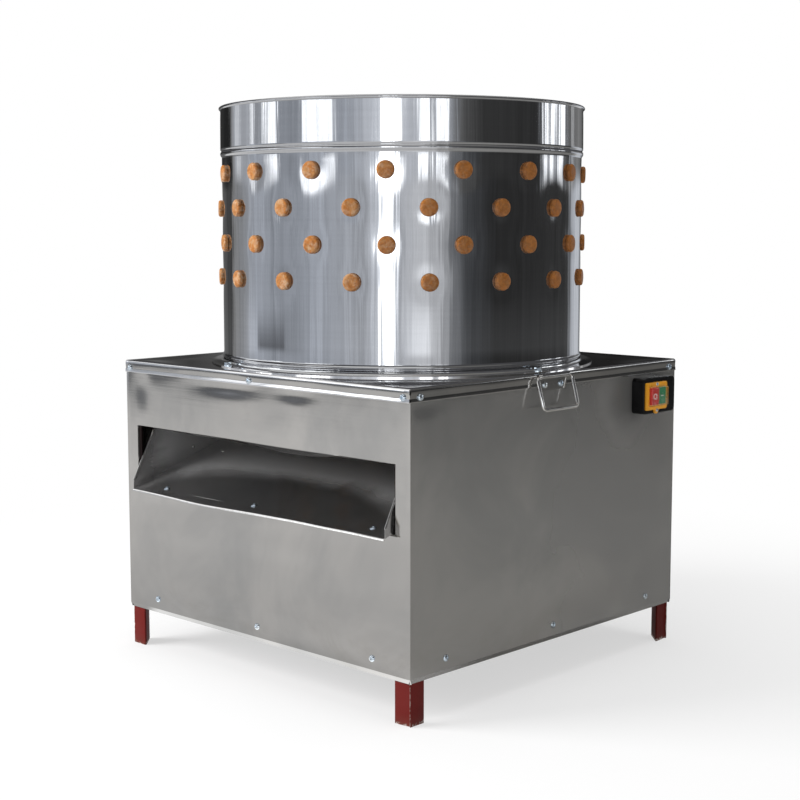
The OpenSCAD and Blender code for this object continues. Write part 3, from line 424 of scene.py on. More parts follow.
@dataclass(frozen=True)
class RedOxide(Finish):
    """Red oxide primer on angle iron, brushed on, rubbed off along the edges and at the feet, with painted shade that
    turns it near black between the heights of the chute opening, where the legs stand in the dark inside the cabinet.
    """

    tone: Colour = (0.13, 0.0085, 0.0062)
    dust: Colour = (0.3, 0.18, 0.14)
    rust: Colour = (0.12, 0.04, 0.02)
    bare_dark: Colour = (0.3, 0.23, 0.2)
    bare_light: Colour = (0.62, 0.56, 0.52)
    # Painted shade: the near-black colour the legs take between these two heights, where they stand in the shade behind
    # the chute opening.
    shade: Colour = (0.006, 0.005, 0.005)
    painted_shade_foot: Point = (0.25, 0.27)
    painted_shade_head: Point = (0.41, 0.39)
    corner: float = 0.3268
    flange: float = 0.2968

    def paint(self, r: Recipe) -> None:
        """Adds the paint's nodes.

        Args:
            r: The material's tree, still empty.
        """
        place = r.place()
        x, y, z = (r.part(place, axis) for axis in "XYZ")
        brushed = r.drawn(place, (60.0, 60.0, 8.0), 4.0, 0.6)
        mottle = r.clouds(place, 34.0, 5.0, 0.65)
        ragged = r.clouds(place, 150.0, 4.0, 0.7, 0.5)
        inner = abs(x).least(abs(y))
        outer = r.ease(inner, self.corner - 0.0045, self.corner)
        tip = r.ease(abs(inner - self.flange), 0.003, 0.0)
        foot = r.ease(z, 0.02, 0.0)
        shaded = r.ease(z, *self.painted_shade_foot) * r.ease(z, *self.painted_shade_head)
        wear = (outer * 0.62).most(tip * 0.34).most(foot * 0.56)
        wear = wear + (ragged - 0.5) * 0.9 + (mottle - 0.5) * 0.5
        chipped = r.ease(wear, 0.56, 0.6)
        rusty = r.ease(wear, 0.42, 0.56)
        paint = r.shaded(self.tone, 0.72, 1.22, brushed * 0.6 + mottle * 0.4)
        dusty = r.blend(paint, self.dust, r.ease(mottle, 0.6, 0.85) * 0.08 + foot * 0.1)
        bare = r.blend(self.bare_dark, self.bare_light, ragged)
        worn = r.blend(r.blend(dusty, self.rust, rusty * 0.5), bare, chipped)
        # Painted shade: near black between the heights of the chute opening.
        colour = r.blend(worn, self.shade, shaded * 0.97)
        rough = 0.52 + (brushed - 0.5) * 0.25 + chipped * 0.1
        normal = r.relief(brushed * 0.4 + mottle * 0.3 - chipped * 0.8, 0.00025, 0.8)
        r.surface(Base_Color=colour, Roughness=rough, Normal=normal, Specular_IOR_Level=0.15)


@dataclass(frozen=True)
class FingerRubber(Finish):
    """Ochre rubber of the plucking fingers: moulding grain, a whitish rubber bloom, and a painted sheen that makes the
    marbling and the bloom palest at the front left, where the light falls.
    """

    tone: Colour = (0.385, 0.128, 0.013)
    marble: Colour = (0.47, 0.25, 0.09)
    # The pale colour of the rubber's bloom and of the painted sheen on the lit front left.
    bloom_and_sheen: Colour = (0.54, 0.41, 0.29)

    def paint(self, r: Recipe) -> None:
        """Adds the rubber's nodes.

        Args:
            r: The material's tree, still empty.
        """
        place = r.place()
        patch = r.clouds(place, 26.0, 2.0, 0.5)
        bloom_and_sheen = r.ease(r.clouds(place, 130.0, 5.0, 0.72, 0.4), 0.45, 0.72)
        speck = r.ease(r.clouds(place, 420.0, 3.0, 0.6), 0.55, 0.75)
        swirl = r.ease(r.clouds(place, 48.0, 4.0, 0.6, 3.0), 0.44, 0.62)
        veins = r.ease(r.clouds(place, 150.0, 3.0, 0.6, 1.2), 0.36, 0.64)
        base = r.shaded(self.tone, 0.56, 1.2, patch * 0.45 + veins * 0.55)
        # Painted sheen: paler towards the front left, where the light falls; it weights the marbling and the pale bloom
        # colour below.
        pale = r.ease(r.part(place, "X") + r.part(place, "Y"), 0.38, -0.36)
        marbled_with_sheen = r.blend(base, self.marble, swirl * (pale * 0.44 + 0.12))
        colour = r.blend(marbled_with_sheen, self.bloom_and_sheen, bloom_and_sheen * (pale * 0.74 + 0.02) + speck * 0.08)
        rough = 0.4 + bloom_and_sheen * 0.2 + (patch - 0.5) * 0.14
        normal = r.relief(bloom_and_sheen * 0.6 + speck * 0.4, 0.00018, 0.6)
        r.surface(Base_Color=colour, Roughness=rough, Normal=normal, Specular_IOR_Level=0.55)


@dataclass(frozen=True)
class PlatedSteel(Finish):
    """Zinc or chrome plate with a faint colour drift and handling marks."""

    tone: Colour = (0.72, 0.83, 0.94)
    drift: Colour = (0.82, 0.86, 0.88)
    gloss: float = 0.1

    def paint(self, r: Recipe) -> None:
        """Adds the plate's nodes.

        Args:
            r: The material's tree, still empty.
        """
        place = r.place()
        patch = r.clouds(place, 55.0, 4.0, 0.6)
        fine = r.clouds(place, 900.0, 3.0, 0.6)
        marks = r.ease(r.clouds(place, 210.0, 5.0, 0.7), 0.56, 0.72)
        plate = r.blend(self.tone, self.drift, r.ease(patch, 0.35, 0.7))
        colour = r.blend(plate, tuple(c * 0.5 for c in self.tone), marks * 0.35)
        rough = self.gloss + (patch - 0.5) * 0.14 + marks * 0.16
        r.surface(Base_Color=colour, Metallic=1.0, Roughness=rough.most(0.05), Normal=r.relief(fine, 0.00004, 0.6))


@dataclass(frozen=True)
class CastMetal(Finish):
    """Cast or turned machine metal: sand grain, turning rings and oily stains."""

    tone: Colour = (0.55, 0.55, 0.54)
    stain: Colour = (0.26, 0.24, 0.21)
    gloss: float = 0.38
    metal: float = 1.0
    rings: float = 0.0
    centre_y: float = 0.0

    def paint(self, r: Recipe) -> None:
        """Adds the casting's nodes.

        Args:
            r: The material's tree, still empty.
        """
        place = r.place()
        sand = r.clouds(place, 420.0, 5.0, 0.65)
        patch = r.clouds(place, 14.0, 5.0, 0.62, 0.5)
        x, y = r.part(place, "X"), r.part(place, "Y") - self.centre_y
        radius = (x * x + y * y) ** 0.5
        across = r.node("ShaderNodeCombineXYZ", inputs={"X": radius, "Y": r.part(place, "Z")})
        turned = r.clouds(across, 1300.0, 2.0, 0.5)
        stained = r.ease(patch, 0.5, 0.78)
        colour = r.blend(r.shaded(self.tone, 0.85, 1.12, sand), self.stain, stained * 0.55)
        rough = self.gloss + (sand - 0.5) * 0.22 + stained * 0.16 + (turned - 0.5) * 0.12 * self.rings
        normal = r.relief(sand * (1.0 - 0.7 * self.rings) + turned * self.rings * 0.4, 0.00016, 0.7)
        r.surface(Base_Color=colour, Metallic=self.metal, Roughness=rough, Normal=normal)


@dataclass(frozen=True)
class Enamel(Finish):
    """Sprayed enamel with orange peel, dust and a few scuffs."""

    tone: Colour = (0.03, 0.09, 0.17)
    grey: Colour = (0.3, 0.28, 0.25)
    gloss: float = 0.34

    def paint(self, r: Recipe) -> None:
        """Adds the enamel's nodes.

        Args:
            r: The material's tree, still empty.
        """
        place = r.place()
        peel = r.cells(place, 520.0)
        patch = r.clouds(place, 17.0, 4.0, 0.6)
        scuff = r.ease(r.drawn(place, (60.0, 60.0, 160.0), 5.0, 0.7, 0.0, (0.5, 0.2, 0.1)), 0.62, 0.72)
        dust = r.ease(patch, 0.45, 0.8) * 0.22
        base = r.shaded(self.tone, 0.8, 1.15, patch)
        colour = r.blend(base, self.grey, dust + scuff * 0.3)
        rough = self.gloss + dust * 0.6 + scuff * 0.2
        r.surface(Base_Color=colour, Roughness=rough, Normal=r.relief(peel, 0.00012, 0.5), Coat_Weight=0.2)


@dataclass(frozen=True)
class Moulded(Finish):
    """Injection moulded plastic with a fine spark grain, rubbed patches and dust."""

    tone: Colour = (0.006, 0.006, 0.0065)
    gloss: float = 0.26
    dust: Colour = (0.2, 0.19, 0.17)
    shine: float = 0.5

    def paint(self, r: Recipe) -> None:
        """Adds the plastic's nodes.

        Args:
            r: The material's tree, still empty.
        """
        place = r.place()
        spark = r.clouds(place, 1500.0, 3.0, 0.6)
        patch = r.clouds(place, 44.0, 4.0, 0.6)
        scuff = r.ease(r.drawn(place, (120.0, 90.0, 400.0), 4.0, 0.7, 0.0, (0.3, 0.6, 0.2)), 0.62, 0.74)
        base = r.shaded(self.tone, 0.84, 1.12, patch)
        colour = r.blend(base, self.dust, scuff * 0.16 + r.ease(patch, 0.6, 0.85) * 0.08)
        rough = self.gloss + (patch - 0.5) * 0.16 + scuff * 0.14 + (spark - 0.5) * 0.06
        normal = r.relief(spark, 0.00005, 0.7)
        r.surface(Base_Color=colour, Roughness=rough, Normal=normal, Specular_IOR_Level=self.shine)


@dataclass(frozen=True)
class ClearPlastic(Finish):
    """Clear soft plastic of the button hood, a little hazed by handling."""

    tone: Colour = (0.93, 0.95, 0.93)
    yellowed: Colour = (0.86, 0.85, 0.78)

    def paint(self, r: Recipe) -> None:
        """Adds the hood's nodes.

        Args:
            r: The material's tree, still empty.
        """
        place = r.place()
        haze = r.clouds(place, 70.0, 5.0, 0.65)
        scratch = r.ease(r.drawn(place, (300.0, 300.0, 40.0), 4.0, 0.7, 0.0, (0.4, 0.2, 0.3)), 0.6, 0.7)
        colour = r.blend(self.tone, self.yellowed, r.ease(haze, 0.4, 0.8))
        rough = 0.02 + haze * 0.05 + scratch * 0.08
        normal = r.relief(haze + scratch * 0.5, 0.00006, 0.6)
        r.surface(Base_Color=colour, Roughness=rough, Transmission_Weight=1.0, IOR=1.35, Alpha=0.3, Normal=normal)


@dataclass(frozen=True)
class BlackRubber(Finish):
    """Black rubber with chalky rubbed patches and a fabric or moulding grain."""

    tone: Colour = (0.018, 0.018, 0.018)
    chalk: Colour = (0.11, 0.1, 0.09)
    grain: float = 700.0

    def paint(self, r: Recipe) -> None:
        """Adds the rubber's nodes.

        Args:
            r: The material's tree, still empty.
        """
        place = r.place()
        cord = r.clouds(place, self.grain, 3.0, 0.6)
        patch = r.ease(r.clouds(place, 30.0, 5.0, 0.65), 0.5, 0.8)
        colour = r.blend(r.shaded(self.tone, 0.8, 1.3, cord), self.chalk, patch * 0.4)
        r.surface(Base_Color=colour, Roughness=0.6 + patch * 0.2, Normal=r.relief(cord, 0.00015, 0.7))


class Slots:
    """The finish of each material slot in the record."""

    FRAME: ClassVar[Finish] = RedOxide("red_oxide")
    SHEET: ClassVar[Finish] = SheetSteel("sheet_steel")
    # A brighter copy of the sheet steel, painted highlight: the cover's top, fold and hem and the tub's foot flange
    # take it, while the cover's skirt takes the darker sheet steel.
    HIGHLIGHT_STEEL: ClassVar[Finish] = SheetSteel("highlight_steel", tone=(0.86, 0.86, 0.87), gloss=0.06, smear=0.06)
    # The right panel's steel, with a painted reflection of the switch box beside it.
    SWITCH_REFLECTION: ClassVar[Finish] = SheetSteel("right_steel", switch_reflection_at=(0.19, 0.437))
    FOOT: ClassVar[Finish] = TubSteel("foot_steel", tone=(0.78, 0.785, 0.79))
    # The chute's steel carries a pale dust film, partly painted reflection where it thins in an ellipse before the lip.
    CHUTE: ClassVar[Finish] = SheetSteel(
        "chute_steel", tone=(0.44, 0.44, 0.445), gloss=0.16, smear=0.14, grime=0.16, film=0.46, grain=Grain.DEEP
    )
    TUB: ClassVar[Finish] = TubSteel("tub_steel")
    FINGER: ClassVar[Finish] = FingerRubber("finger_rubber")
    ZINC: ClassVar[Finish] = PlatedSteel("zinc_plate")
    WIRE: ClassVar[Finish] = PlatedSteel(
        "bright_wire", tone=(0.82, 0.81, 0.79), drift=(0.72, 0.7, 0.67), gloss=0.09
    )
    BLACK: ClassVar[Finish] = Moulded(
        "black_moulding", tone=(0.0045, 0.0045, 0.005), gloss=0.17, dust=(0.05, 0.05, 0.05), shine=0.25
    )
    YELLOW: ClassVar[Finish] = Moulded("yellow_moulding", tone=(0.86, 0.37, 0.008), gloss=0.3, dust=(0.5, 0.3, 0.1))
    RED: ClassVar[Finish] = Moulded("red_moulding", tone=(0.56, 0.02, 0.016), gloss=0.28, dust=(0.5, 0.2, 0.16))
    GREEN: ClassVar[Finish] = Moulded("green_moulding", tone=(0.008, 0.21, 0.075), gloss=0.28, dust=(0.2, 0.4, 0.26))
    MARK: ClassVar[Finish] = Moulded("white_mark", tone=(0.82, 0.82, 0.78), gloss=0.4, dust=(0.4, 0.38, 0.33))
    CLEAR: ClassVar[Finish] = ClearPlastic("clear_hood")

    @classmethod
    def table(cls) -> dict[str, Finish]:
        """Slot name to finish.

        Returns:
            A finish for every slot in the record.
        """
        return {
            "frame_paint": cls.FRAME,
            "stainless_sheet": cls.SHEET,
            "tub_steel": cls.TUB,
            "finger_rubber": cls.FINGER,
            "zinc_steel": cls.ZINC,
            "wire_chrome": cls.WIRE,
            "cast_aluminium": CastMetal("cast_aluminium", tone=(0.60, 0.60, 0.59), gloss=0.36, rings=0.4),
            "shaft_steel": CastMetal("shaft_steel", tone=(0.52, 0.52, 0.53), gloss=0.24, rings=0.9),
            "cast_iron": CastMetal(
                "cast_iron", tone=(0.09, 0.095, 0.10), stain=(0.13, 0.09, 0.06), gloss=0.5, metal=0.35
            ),
            "motor_paint": Enamel("motor_enamel"),
            "core_steel": CastMetal(
                "core_laminations", tone=(0.26, 0.20, 0.15), gloss=0.45, metal=0.7, rings=0.3, centre_y=0.205
            ),
            "belt_rubber": BlackRubber("belt_rubber", grain=1100.0),
            "black_plastic": cls.BLACK,
            "yellow_plastic": cls.YELLOW,
            "red_plastic": cls.RED,
            "green_plastic": cls.GREEN,
            "clear_plastic": cls.CLEAR,
            "black_rubber": BlackRubber("black_rubber"),
        }


class Mesher:
    """A mesh under construction, shaped by a few operators. Lengths are millimetres until it is finished."""

    def __init__(self) -> None:
        """Starts empty."""
        self.bm = bmesh.new()

    def lathe(self, profile: Sequence[Point], steps: int, closed: bool = False) -> "Mesher":
        """Spins a profile of (radius, height) points round the Z axis.

        Args:
            profile: The points, in order.
            steps: How many steps make the full turn.
            closed: Whether the last point joins the first.

        Returns:
            This mesh.
        """
        verts = [self.bm.verts.new((radius, 0.0, height)) for radius, height in profile]
        pairs = list(zip(verts, verts[1:])) + ([(verts[-1], verts[0])] if closed else [])
        edges = [self.bm.edges.new(pair) for pair in pairs]
        bmesh.ops.spin(
            self.bm, geom=verts + edges, cent=(0, 0, 0), axis=(0, 0, 1), dvec=(0, 0, 0), angle=2 * math.pi,
            steps=steps, use_merge=True, use_duplicate=False,
        )
        bmesh.ops.remove_doubles(self.bm, verts=self.bm.verts, dist=WELD)
        bmesh.ops.recalc_face_normals(self.bm, faces=self.bm.faces)
        return self

    def block(self, low: Sequence[float], high: Sequence[float], round_off: float) -> "Mesher":
        """Adds a box between two corners.

        Args:
            low: The lowest corner.
            high: The highest corner.
            round_off: How far its edges are taken off.

        Returns:
            This mesh.
        """
        made = bmesh.ops.create_cube(self.bm, size=1.0)["verts"]
        size = [h - l for l, h in zip(low, high)]
        bmesh.ops.scale(self.bm, vec=size, verts=made)
        bmesh.ops.translate(self.bm, vec=[(h + l) / 2 for l, h in zip(low, high)], verts=made)
        self.bevel(dict.fromkeys(e for v in made for e in v.link_edges), round_off, 1)
        return self

    def bevel(self, edges: Iterable[bmesh.types.BMEdge], offset: float, segments: int) -> None:
        """Rounds edges off."""
        bmesh.ops.bevel(
            self.bm, geom=list(edges), offset=offset, offset_type="OFFSET", segments=segments, profile=0.5,
            affect="EDGES", material=-1, clamp_overlap=True,
        )

    def grid(self, columns: int, rows: int, width: float, height: float) -> "Mesher":
        """Adds a flat net of faces on X and Y about the origin.

        Args:
            columns: The number of faces along X.
            rows: The number of faces along Y.
            width: The size along X.
            height: The size along Y.

        Returns:
            This mesh.
        """
        made = bmesh.ops.create_grid(self.bm, x_segments=columns, y_segments=rows, size=0.5)["verts"]
        bmesh.ops.scale(self.bm, vec=(width, height, 1.0), verts=made)
        return self

    def cut(self, point: Sequence[float], normal: Sequence[float]) -> None:
        """Cuts every face along a plane."""
        geometry = self.bm.verts[:] + self.bm.edges[:] + self.bm.faces[:]
        bmesh.ops.bisect_plane(self.bm, geom=geometry, dist=WELD, plane_co=point, plane_no=normal)

    def drop(self, chosen: Callable[[Vector], bool]) -> None:
        """Removes the faces whose middle is chosen."""
        faces = [f for f in self.bm.faces if chosen(f.calc_center_median())]
        bmesh.ops.delete(self.bm, geom=faces, context="FACES")

    def loop(self, points: Sequence[Sequence[float]]) -> list[bmesh.types.BMVert]:
        """Adds a closed wire through points.

        Args:
            points: The corners of the wire, in order.

        Returns:
            The wire's vertices, in order.
        """
        verts = [self.bm.verts.new(point) for point in points]
        for first, second in zip(verts, verts[1:] + verts[:1]):
            self.bm.edges.new((first, second))
        return verts

    def grow(self, loop: Sequence[bmesh.types.BMVert], points: Sequence[Sequence[float]]) -> list[bmesh.types.BMVert]:
        """Extrudes a closed loop to new points.

        Args:
            loop: The loop's vertices in order.
            points: Where each of them goes.

        Returns:
            The new loop's vertices in order.
        """
        edges = [self.bm.edges.get(pair) for pair in zip(loop, list(loop[1:]) + [loop[0]])]
        made = bmesh.ops.extrude_edge_only(self.bm, edges=edges)["geom"]
        fresh = {v for v in made if isinstance(v, bmesh.types.BMVert)}
        twins = []
        for old, point in zip(loop, points):
            twin = next(v for v in (e.other_vert(old) for e in old.link_edges) if v in fresh)
            twin.co = point
            twins.append(twin)
        return twins

    def prism(self, points: Sequence[Sequence[float]], sweep: Sequence[float]) -> "Mesher":
        """Adds a flat outline swept into a solid.

        Args:
            points: The corners of the outline, in order.
            sweep: How far and which way it is swept.

        Returns:
            This mesh.
        """
        face = bmesh.ops.contextual_create(self.bm, geom=self.loop(points))["faces"]
        swept = bmesh.ops.extrude_face_region(self.bm, geom=face)["geom"]
        bmesh.ops.translate(self.bm, vec=sweep, verts=[v for v in swept if isinstance(v, bmesh.types.BMVert)])
        bmesh.ops.recalc_face_normals(self.bm, faces=self.bm.faces)
        return self

    def rim(self, chosen: Callable[[Vector], bool], moves: Sequence[Callable[[Vector], Sequence[float]]]) -> None:
        """Extrudes open edges in steps.

        Args:
            chosen: Tells from an edge's middle whether it is taken.
            moves: Where each new vertex goes, one function for each step.
        """
        edges = [e for e in self.bm.edges if e.is_boundary and chosen((e.verts[0].co + e.verts[1].co) / 2)]
        for move in moves:
            made = bmesh.ops.extrude_edge_only(self.bm, edges=edges)["geom"]
            fresh = [v for v in made if isinstance(v, bmesh.types.BMVert)]
            new = set(fresh)
            for v in fresh:
                v.co = move(v.co.copy())
            edges = [e for e in made if isinstance(e, bmesh.types.BMEdge) and e.verts[0] in new and e.verts[1] in new]

    def shift(self, move: Callable[[Vector], Sequence[float]]) -> "Mesher":
        """Moves every vertex by a function of its place.

        Args:
            move: The new place of a vertex.

        Returns:
            This mesh.
        """
        for v in self.bm.verts:
            v.co = move(v.co.copy())
        return self

    def turn(self, matrix: Matrix) -> "Mesher":
        """Moves the whole mesh by a matrix."""
        bmesh.ops.transform(self.bm, matrix=matrix, verts=self.bm.verts)
        return self

    def dye(self, index: int) -> "Mesher":
        """Gives all faces so far one material number.

        Args:
            index: The number of the finish in the piece's list.

        Returns:
            This mesh.
        """
        for face in self.bm.faces:
            face.material_index = index
        return self

    def second(self, chosen: Callable[[Vector], bool]) -> "Mesher":
        """Gives the second finish to some faces and the first to the rest.

        Args:
            chosen: Tells from a face's middle whether it takes the second one.

        Returns:
            This mesh.
        """
        for face in self.bm.faces:
            face.material_index = int(chosen(face.calc_center_median()))
        return self

    def outward(self, away: Callable[[bmesh.types.BMFace], float]) -> "Mesher":
        """Makes the faces agree, and flips them all if the sum of away over them is negative.

        Args:
            away: How much a face looks outwards.

        Returns:
            This mesh.
        """
        bmesh.ops.recalc_face_normals(self.bm, faces=self.bm.faces)
        self.bm.normal_update()
        if sum(away(face) for face in self.bm.faces) < 0:
            bmesh.ops.reverse_faces(self.bm, faces=self.bm.faces)
        return self

    def mesh(self, name: str) -> bpy.types.Mesh:
        """Closes the mesh, still in millimetres.

        Args:
            name: The mesh's name.

        Returns:
            The mesh.
        """
        made = bpy.data.meshes.new(name)
        self.bm.normal_update()
        self.bm.to_mesh(made)
        self.bm.free()
        return made

    def add(self, template: bpy.types.Mesh, matrix: Matrix) -> "Mesher":
        """Adds a copy of a mesh, moved by a matrix.

        Args:
            template: The mesh, which stays as it is.
            matrix: Where the copy goes.

        Returns:
            This mesh.
        """
        copy = template.copy()
        copy.transform(matrix)
        self.bm.from_mesh(copy)
        bpy.data.meshes.remove(copy)
        return self

    def piece(
        self, name: str, body: Body, finishes: Sequence[Finish], nodes: Sequence[str], slot: str,
        crease: float, wall: float = 0.0,
    ) -> None:
        """Turns the mesh into a piece of the object.

        Args:
            name: The piece's name.
            body: The body that it rides on.
            finishes: Its finishes, by material number.
            nodes: The nodes that it stands for.
            slot: The record's material slot; not used.
            crease: The angle in degrees past which an edge stays sharp.
            wall: The thickness of a sheet, inwards from its faces, or 0 for a solid.
        """
        self.turn(Matrix.Scale(MM, 4))
        for face in self.bm.faces:
            face.smooth = True
        self.bm.edges.index_update()
        rims = [edge.index for edge in self.bm.edges if edge.is_boundary]
        mesh = self.mesh(name)
        mesh.set_sharp_from_angle(angle=math.radians(crease))
        for index in rims:
            mesh.edges[index].use_edge_sharp = True
        for finish in finishes:
            mesh.materials.append(finish.material())
        made = bpy.data.objects.new(name, mesh)
        bpy.context.scene.collection.objects.link(made)
        if wall:
            thick = made.modifiers.new("wall", "SOLIDIFY")
            thick.thickness = wall * MM
            thick.offset = -1.0
            thick.use_even_offset = True
        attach(made, body.value)
        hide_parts(*nodes)
        LOG.info("%s: %d faces for %s", name, len(mesh.polygons), ", ".join(nodes))


@dataclass
class Tub:
    """The rolled steel tub, its beads, its rim and its foot ring."""

    radius: float = 300.0
    wall: float = 1.5
    low: float = 490.0
    high: float = 910.0
    bead: float = 833.0
    foot_bead: float = 502.0
    bead_out: float = 2.5
    roll: float = 4.0
    roll_h: float = 2.9
    fingers: Sequence[Point] = field(default_factory=lambda: Fingers().places())
    ring_out: float = 321.4
    steps: int = 384
    dimple: float = 0.8
    dimple_r: float = 21.0
    bead_turns: Sequence[float] = (-0.8, -0.5, -0.25, 0.0, 0.25, 0.5, 0.8)
    plain_z: Sequence[float] = (530.0, 560.0, 580.0)
    dimpled_low: float = 594.0
    dimpled_step: float = 6.0
    dimpled_rows: int = 38
    swage: Sequence[Point] = (
        (-7.5, 0.0), (-5.6, 0.05), (-4.6, 0.5), (-3.2, 1.7), (-1.6, 2.4), (0.0, 2.6), (1.6, 2.4),
        (2.8, 1.7), (3.7, 1.0), (4.6, 0.9), (5.5, 1.3), (6.3, 2.0), (7.2, 2.3), (9.0, 2.34),
    )
    band: Sequence[Point] = ((2.3, 850.0), (2.15, 872.0), (2.0, 890.0), (1.7, 900.0))
    fillet: Sequence[Point] = ((5.2, 2.1), (3.6, 2.7), (2.7, 4.0), (2.4, 6.4), (1.7, 7.0), (0.8, 6.6))

    def drawn_in(self, p: Vector) -> Vector:
        """Draws a point of the wall in by the fingers near it.

        Args:
            p: A point of the plain wall.

        Returns:
            Where it lies in the finished wall.
        """
        angle, depth = math.atan2(p.y, p.x), 0.0
        for degrees, z in self.fingers:
            if abs(p.z - z) < 2.4 * self.dimple_r:
                turn = math.remainder(angle - math.radians(degrees), 2 * math.pi)
                depth += self.dimple * hump(math.hypot(turn * self.radius, p.z - z), self.dimple_r)
        scale = 1.0 - depth / self.radius
        return Vector((p.x * scale, p.y * scale, p.z))

    def outline(self) -> list[Point]:
        """The outside of the wall from the foot to the rim, as (radius, height).

        Returns:
            The points, in order.
        """
        r, out = self.radius, self.bead_out
        bead = [(r + out * (0.5 + 0.5 * math.cos(math.pi * t)), self.foot_bead + 5 * t) for t in self.bead_turns]
        rows = [self.dimpled_low + self.dimpled_step * i for i in range(self.dimpled_rows)]
        plain = [(r, z) for z in (self.foot_bead + 6, *self.plain_z, *rows)]
        swage = [(r + dr, self.bead + dz) for dz, dr in self.swage]
        band = [(r + dr, z) for dr, z in self.band]
        return [(r, self.low), (r, self.foot_bead - 6), *bead, *plain, *swage, *band]

    def build(self) -> None:
        """Makes the shell and its foot ring."""
        outside = self.outline()
        axis_r, axis_z = self.radius + 0.5, self.high - self.roll_h
        angles = [math.radians(a) for a in range(-70, 231, 15)]
        roll = [(axis_r + self.roll * math.cos(a), axis_z + self.roll_h * math.sin(a)) for a in angles]
        inside = [(r - self.wall, z) for r, z in reversed(outside)]
        shell = Mesher().lathe(outside + roll + inside, self.steps, True).shift(self.drawn_in)
        shell.piece("tub_shell", Body.CABINET, [Slots.TUB], ["drum_shell"], "tub_steel", 40.0)
        z, r = self.low, self.radius
        edge = self.ring_out
        flange = [(r + 0.5, z), (edge, z), (edge, z + 1.9), (edge - 0.1, z + 2)]
        ring = Mesher().lathe(flange + [(r + dr, z + dz) for dr, dz in self.fillet], self.steps, True)
        # The flange lying on the cover takes the cover's brighter steel, a painted highlight.
        ring.second(lambda c: math.hypot(c.x, c.y) > r + 5.0)
        finishes = [Slots.FOOT, Slots.HIGHLIGHT_STEEL]
        ring.piece("tub_foot", Body.CABINET, finishes, ["drum_foot_ring"], "stainless_sheet", 40.0)


@dataclass
class Fingers:
    """The rubber fingers of the tub wall and of the plucking disc."""

    head_r: float = 13.75
    head_t: float = 6.5
    neck_r: float = 9.5
    shoulder_r: float = 12.5
    tip_r: float = 6.0
    length: float = 78.0
    ribs: int = 6
    rows: Sequence[float] = (632.0, 688.0, 744.0, 800.0)
    drift: Sequence[float] = (0.75, -0.35, 0.5, -0.65)
    per_row: int = 16
    phase: float = -5.4
    wall_r: float = 300.0
    disc_z: float = 503.0
    wall_base: float = 3.0
    disc_base: float = 5.6
    sides: int = 20
    seed: int = 7
    rings: Sequence[tuple[float, int, float]] = ((105.0, 6, 40.0), (170.0, 12, 25.0), (240.0, 18, 0.0))

    def places(self) -> list[Point]:
        """Every finger in the wall, drilled by hand and so a little off.

        Returns:
            The angle in degrees and the height of each.
        """
        made = []
        for row, z in enumerate(self.rows):
            start = self.phase + self.drift[row] + (0.5 if row % 2 == 0 else 0.0) * 360.0 / self.per_row
            made += [(start + i * 360.0 / self.per_row, z) for i in range(self.per_row)]
        return made

    def template(self, base: float) -> bpy.types.Mesh:
        """One finger along Z.

        Args:
            base: The height where the ribbed part starts, inside the wall.

        Returns:
            The finger's mesh.
        """
        h, t = self.head_r, self.head_t
        head = [
            (0.0, -t - 0.2), (5.0, -t - 0.15), (9.6, -t), (h - 1.8, -t + 0.5),
            (h - 0.6, -t + 1.5), (h, -t + 3.0), (h, -1.4), (h - 0.4, 0.5),
        ]
        profile = head + [(self.neck_r, 0.5), (self.neck_r, base), (self.shoulder_r - 0.4, base)]
        step = self.length / self.ribs
        taper = (self.shoulder_r - self.tip_r) / self.ribs
        for i in range(self.ribs):
            big, z = self.shoulder_r - taper * i, base + step * i
            profile += [(big, z + 0.5), (big, z + step * 0.5), (big - taper - 0.9, z + step * 0.66)]
            if i < self.ribs - 1:
                profile.append((big - taper - 0.9, z + step * 0.92))
        end = base + self.length
        profile += [(self.tip_r - 0.8, end - 2.5), (self.tip_r - 2.2, end - 0.8), (0.0, end)]
        return Mesher().lathe(profile, self.sides).mesh("finger")

    def build(self) -> None:
        """Sets the fingers in the wall and on the disc, leaning the same way in each run."""
        noise.seed_set(self.seed)
        wall = Mesher()
        template = self.template(self.wall_base)
        for i, (angle, z) in enumerate(self.places()):
            lean = noise.noise_vector(Vector((z * 0.05, i * 1.7, 0.4))) * 0.05
            seat = Matrix.Rotation(math.radians(angle), 4, "Z") @ Matrix.Translation((self.wall_r, 0.0, z))
            leant = Matrix.Rotation(-math.pi / 2 + lean.x, 4, "Y") @ Matrix.Rotation(lean.y, 4, "X")
            spin = leant @ Matrix.Rotation(lean.z * 40, 4, "Z")
            wall.add(template, seat @ spin)
        wall.piece("tub_fingers", Body.CABINET, [Slots.FINGER], ["drum_fingers"], "finger_rubber", 50.0)
        disc = Mesher()
        template = self.template(self.disc_base)
        for radius, count, phase in self.rings:
            for i in range(count):
                angle = math.radians(phase + i * 360.0 / count)
                foot = Matrix.Translation((radius * math.cos(angle), radius * math.sin(angle), self.disc_z))
                disc.add(template, foot @ Matrix.Rotation(i * 1.3, 4, "Z"))
        disc.piece("turntable_fingers", Body.TURNTABLE, [Slots.FINGER], ["disc_fingers"], "finger_rubber", 50.0)


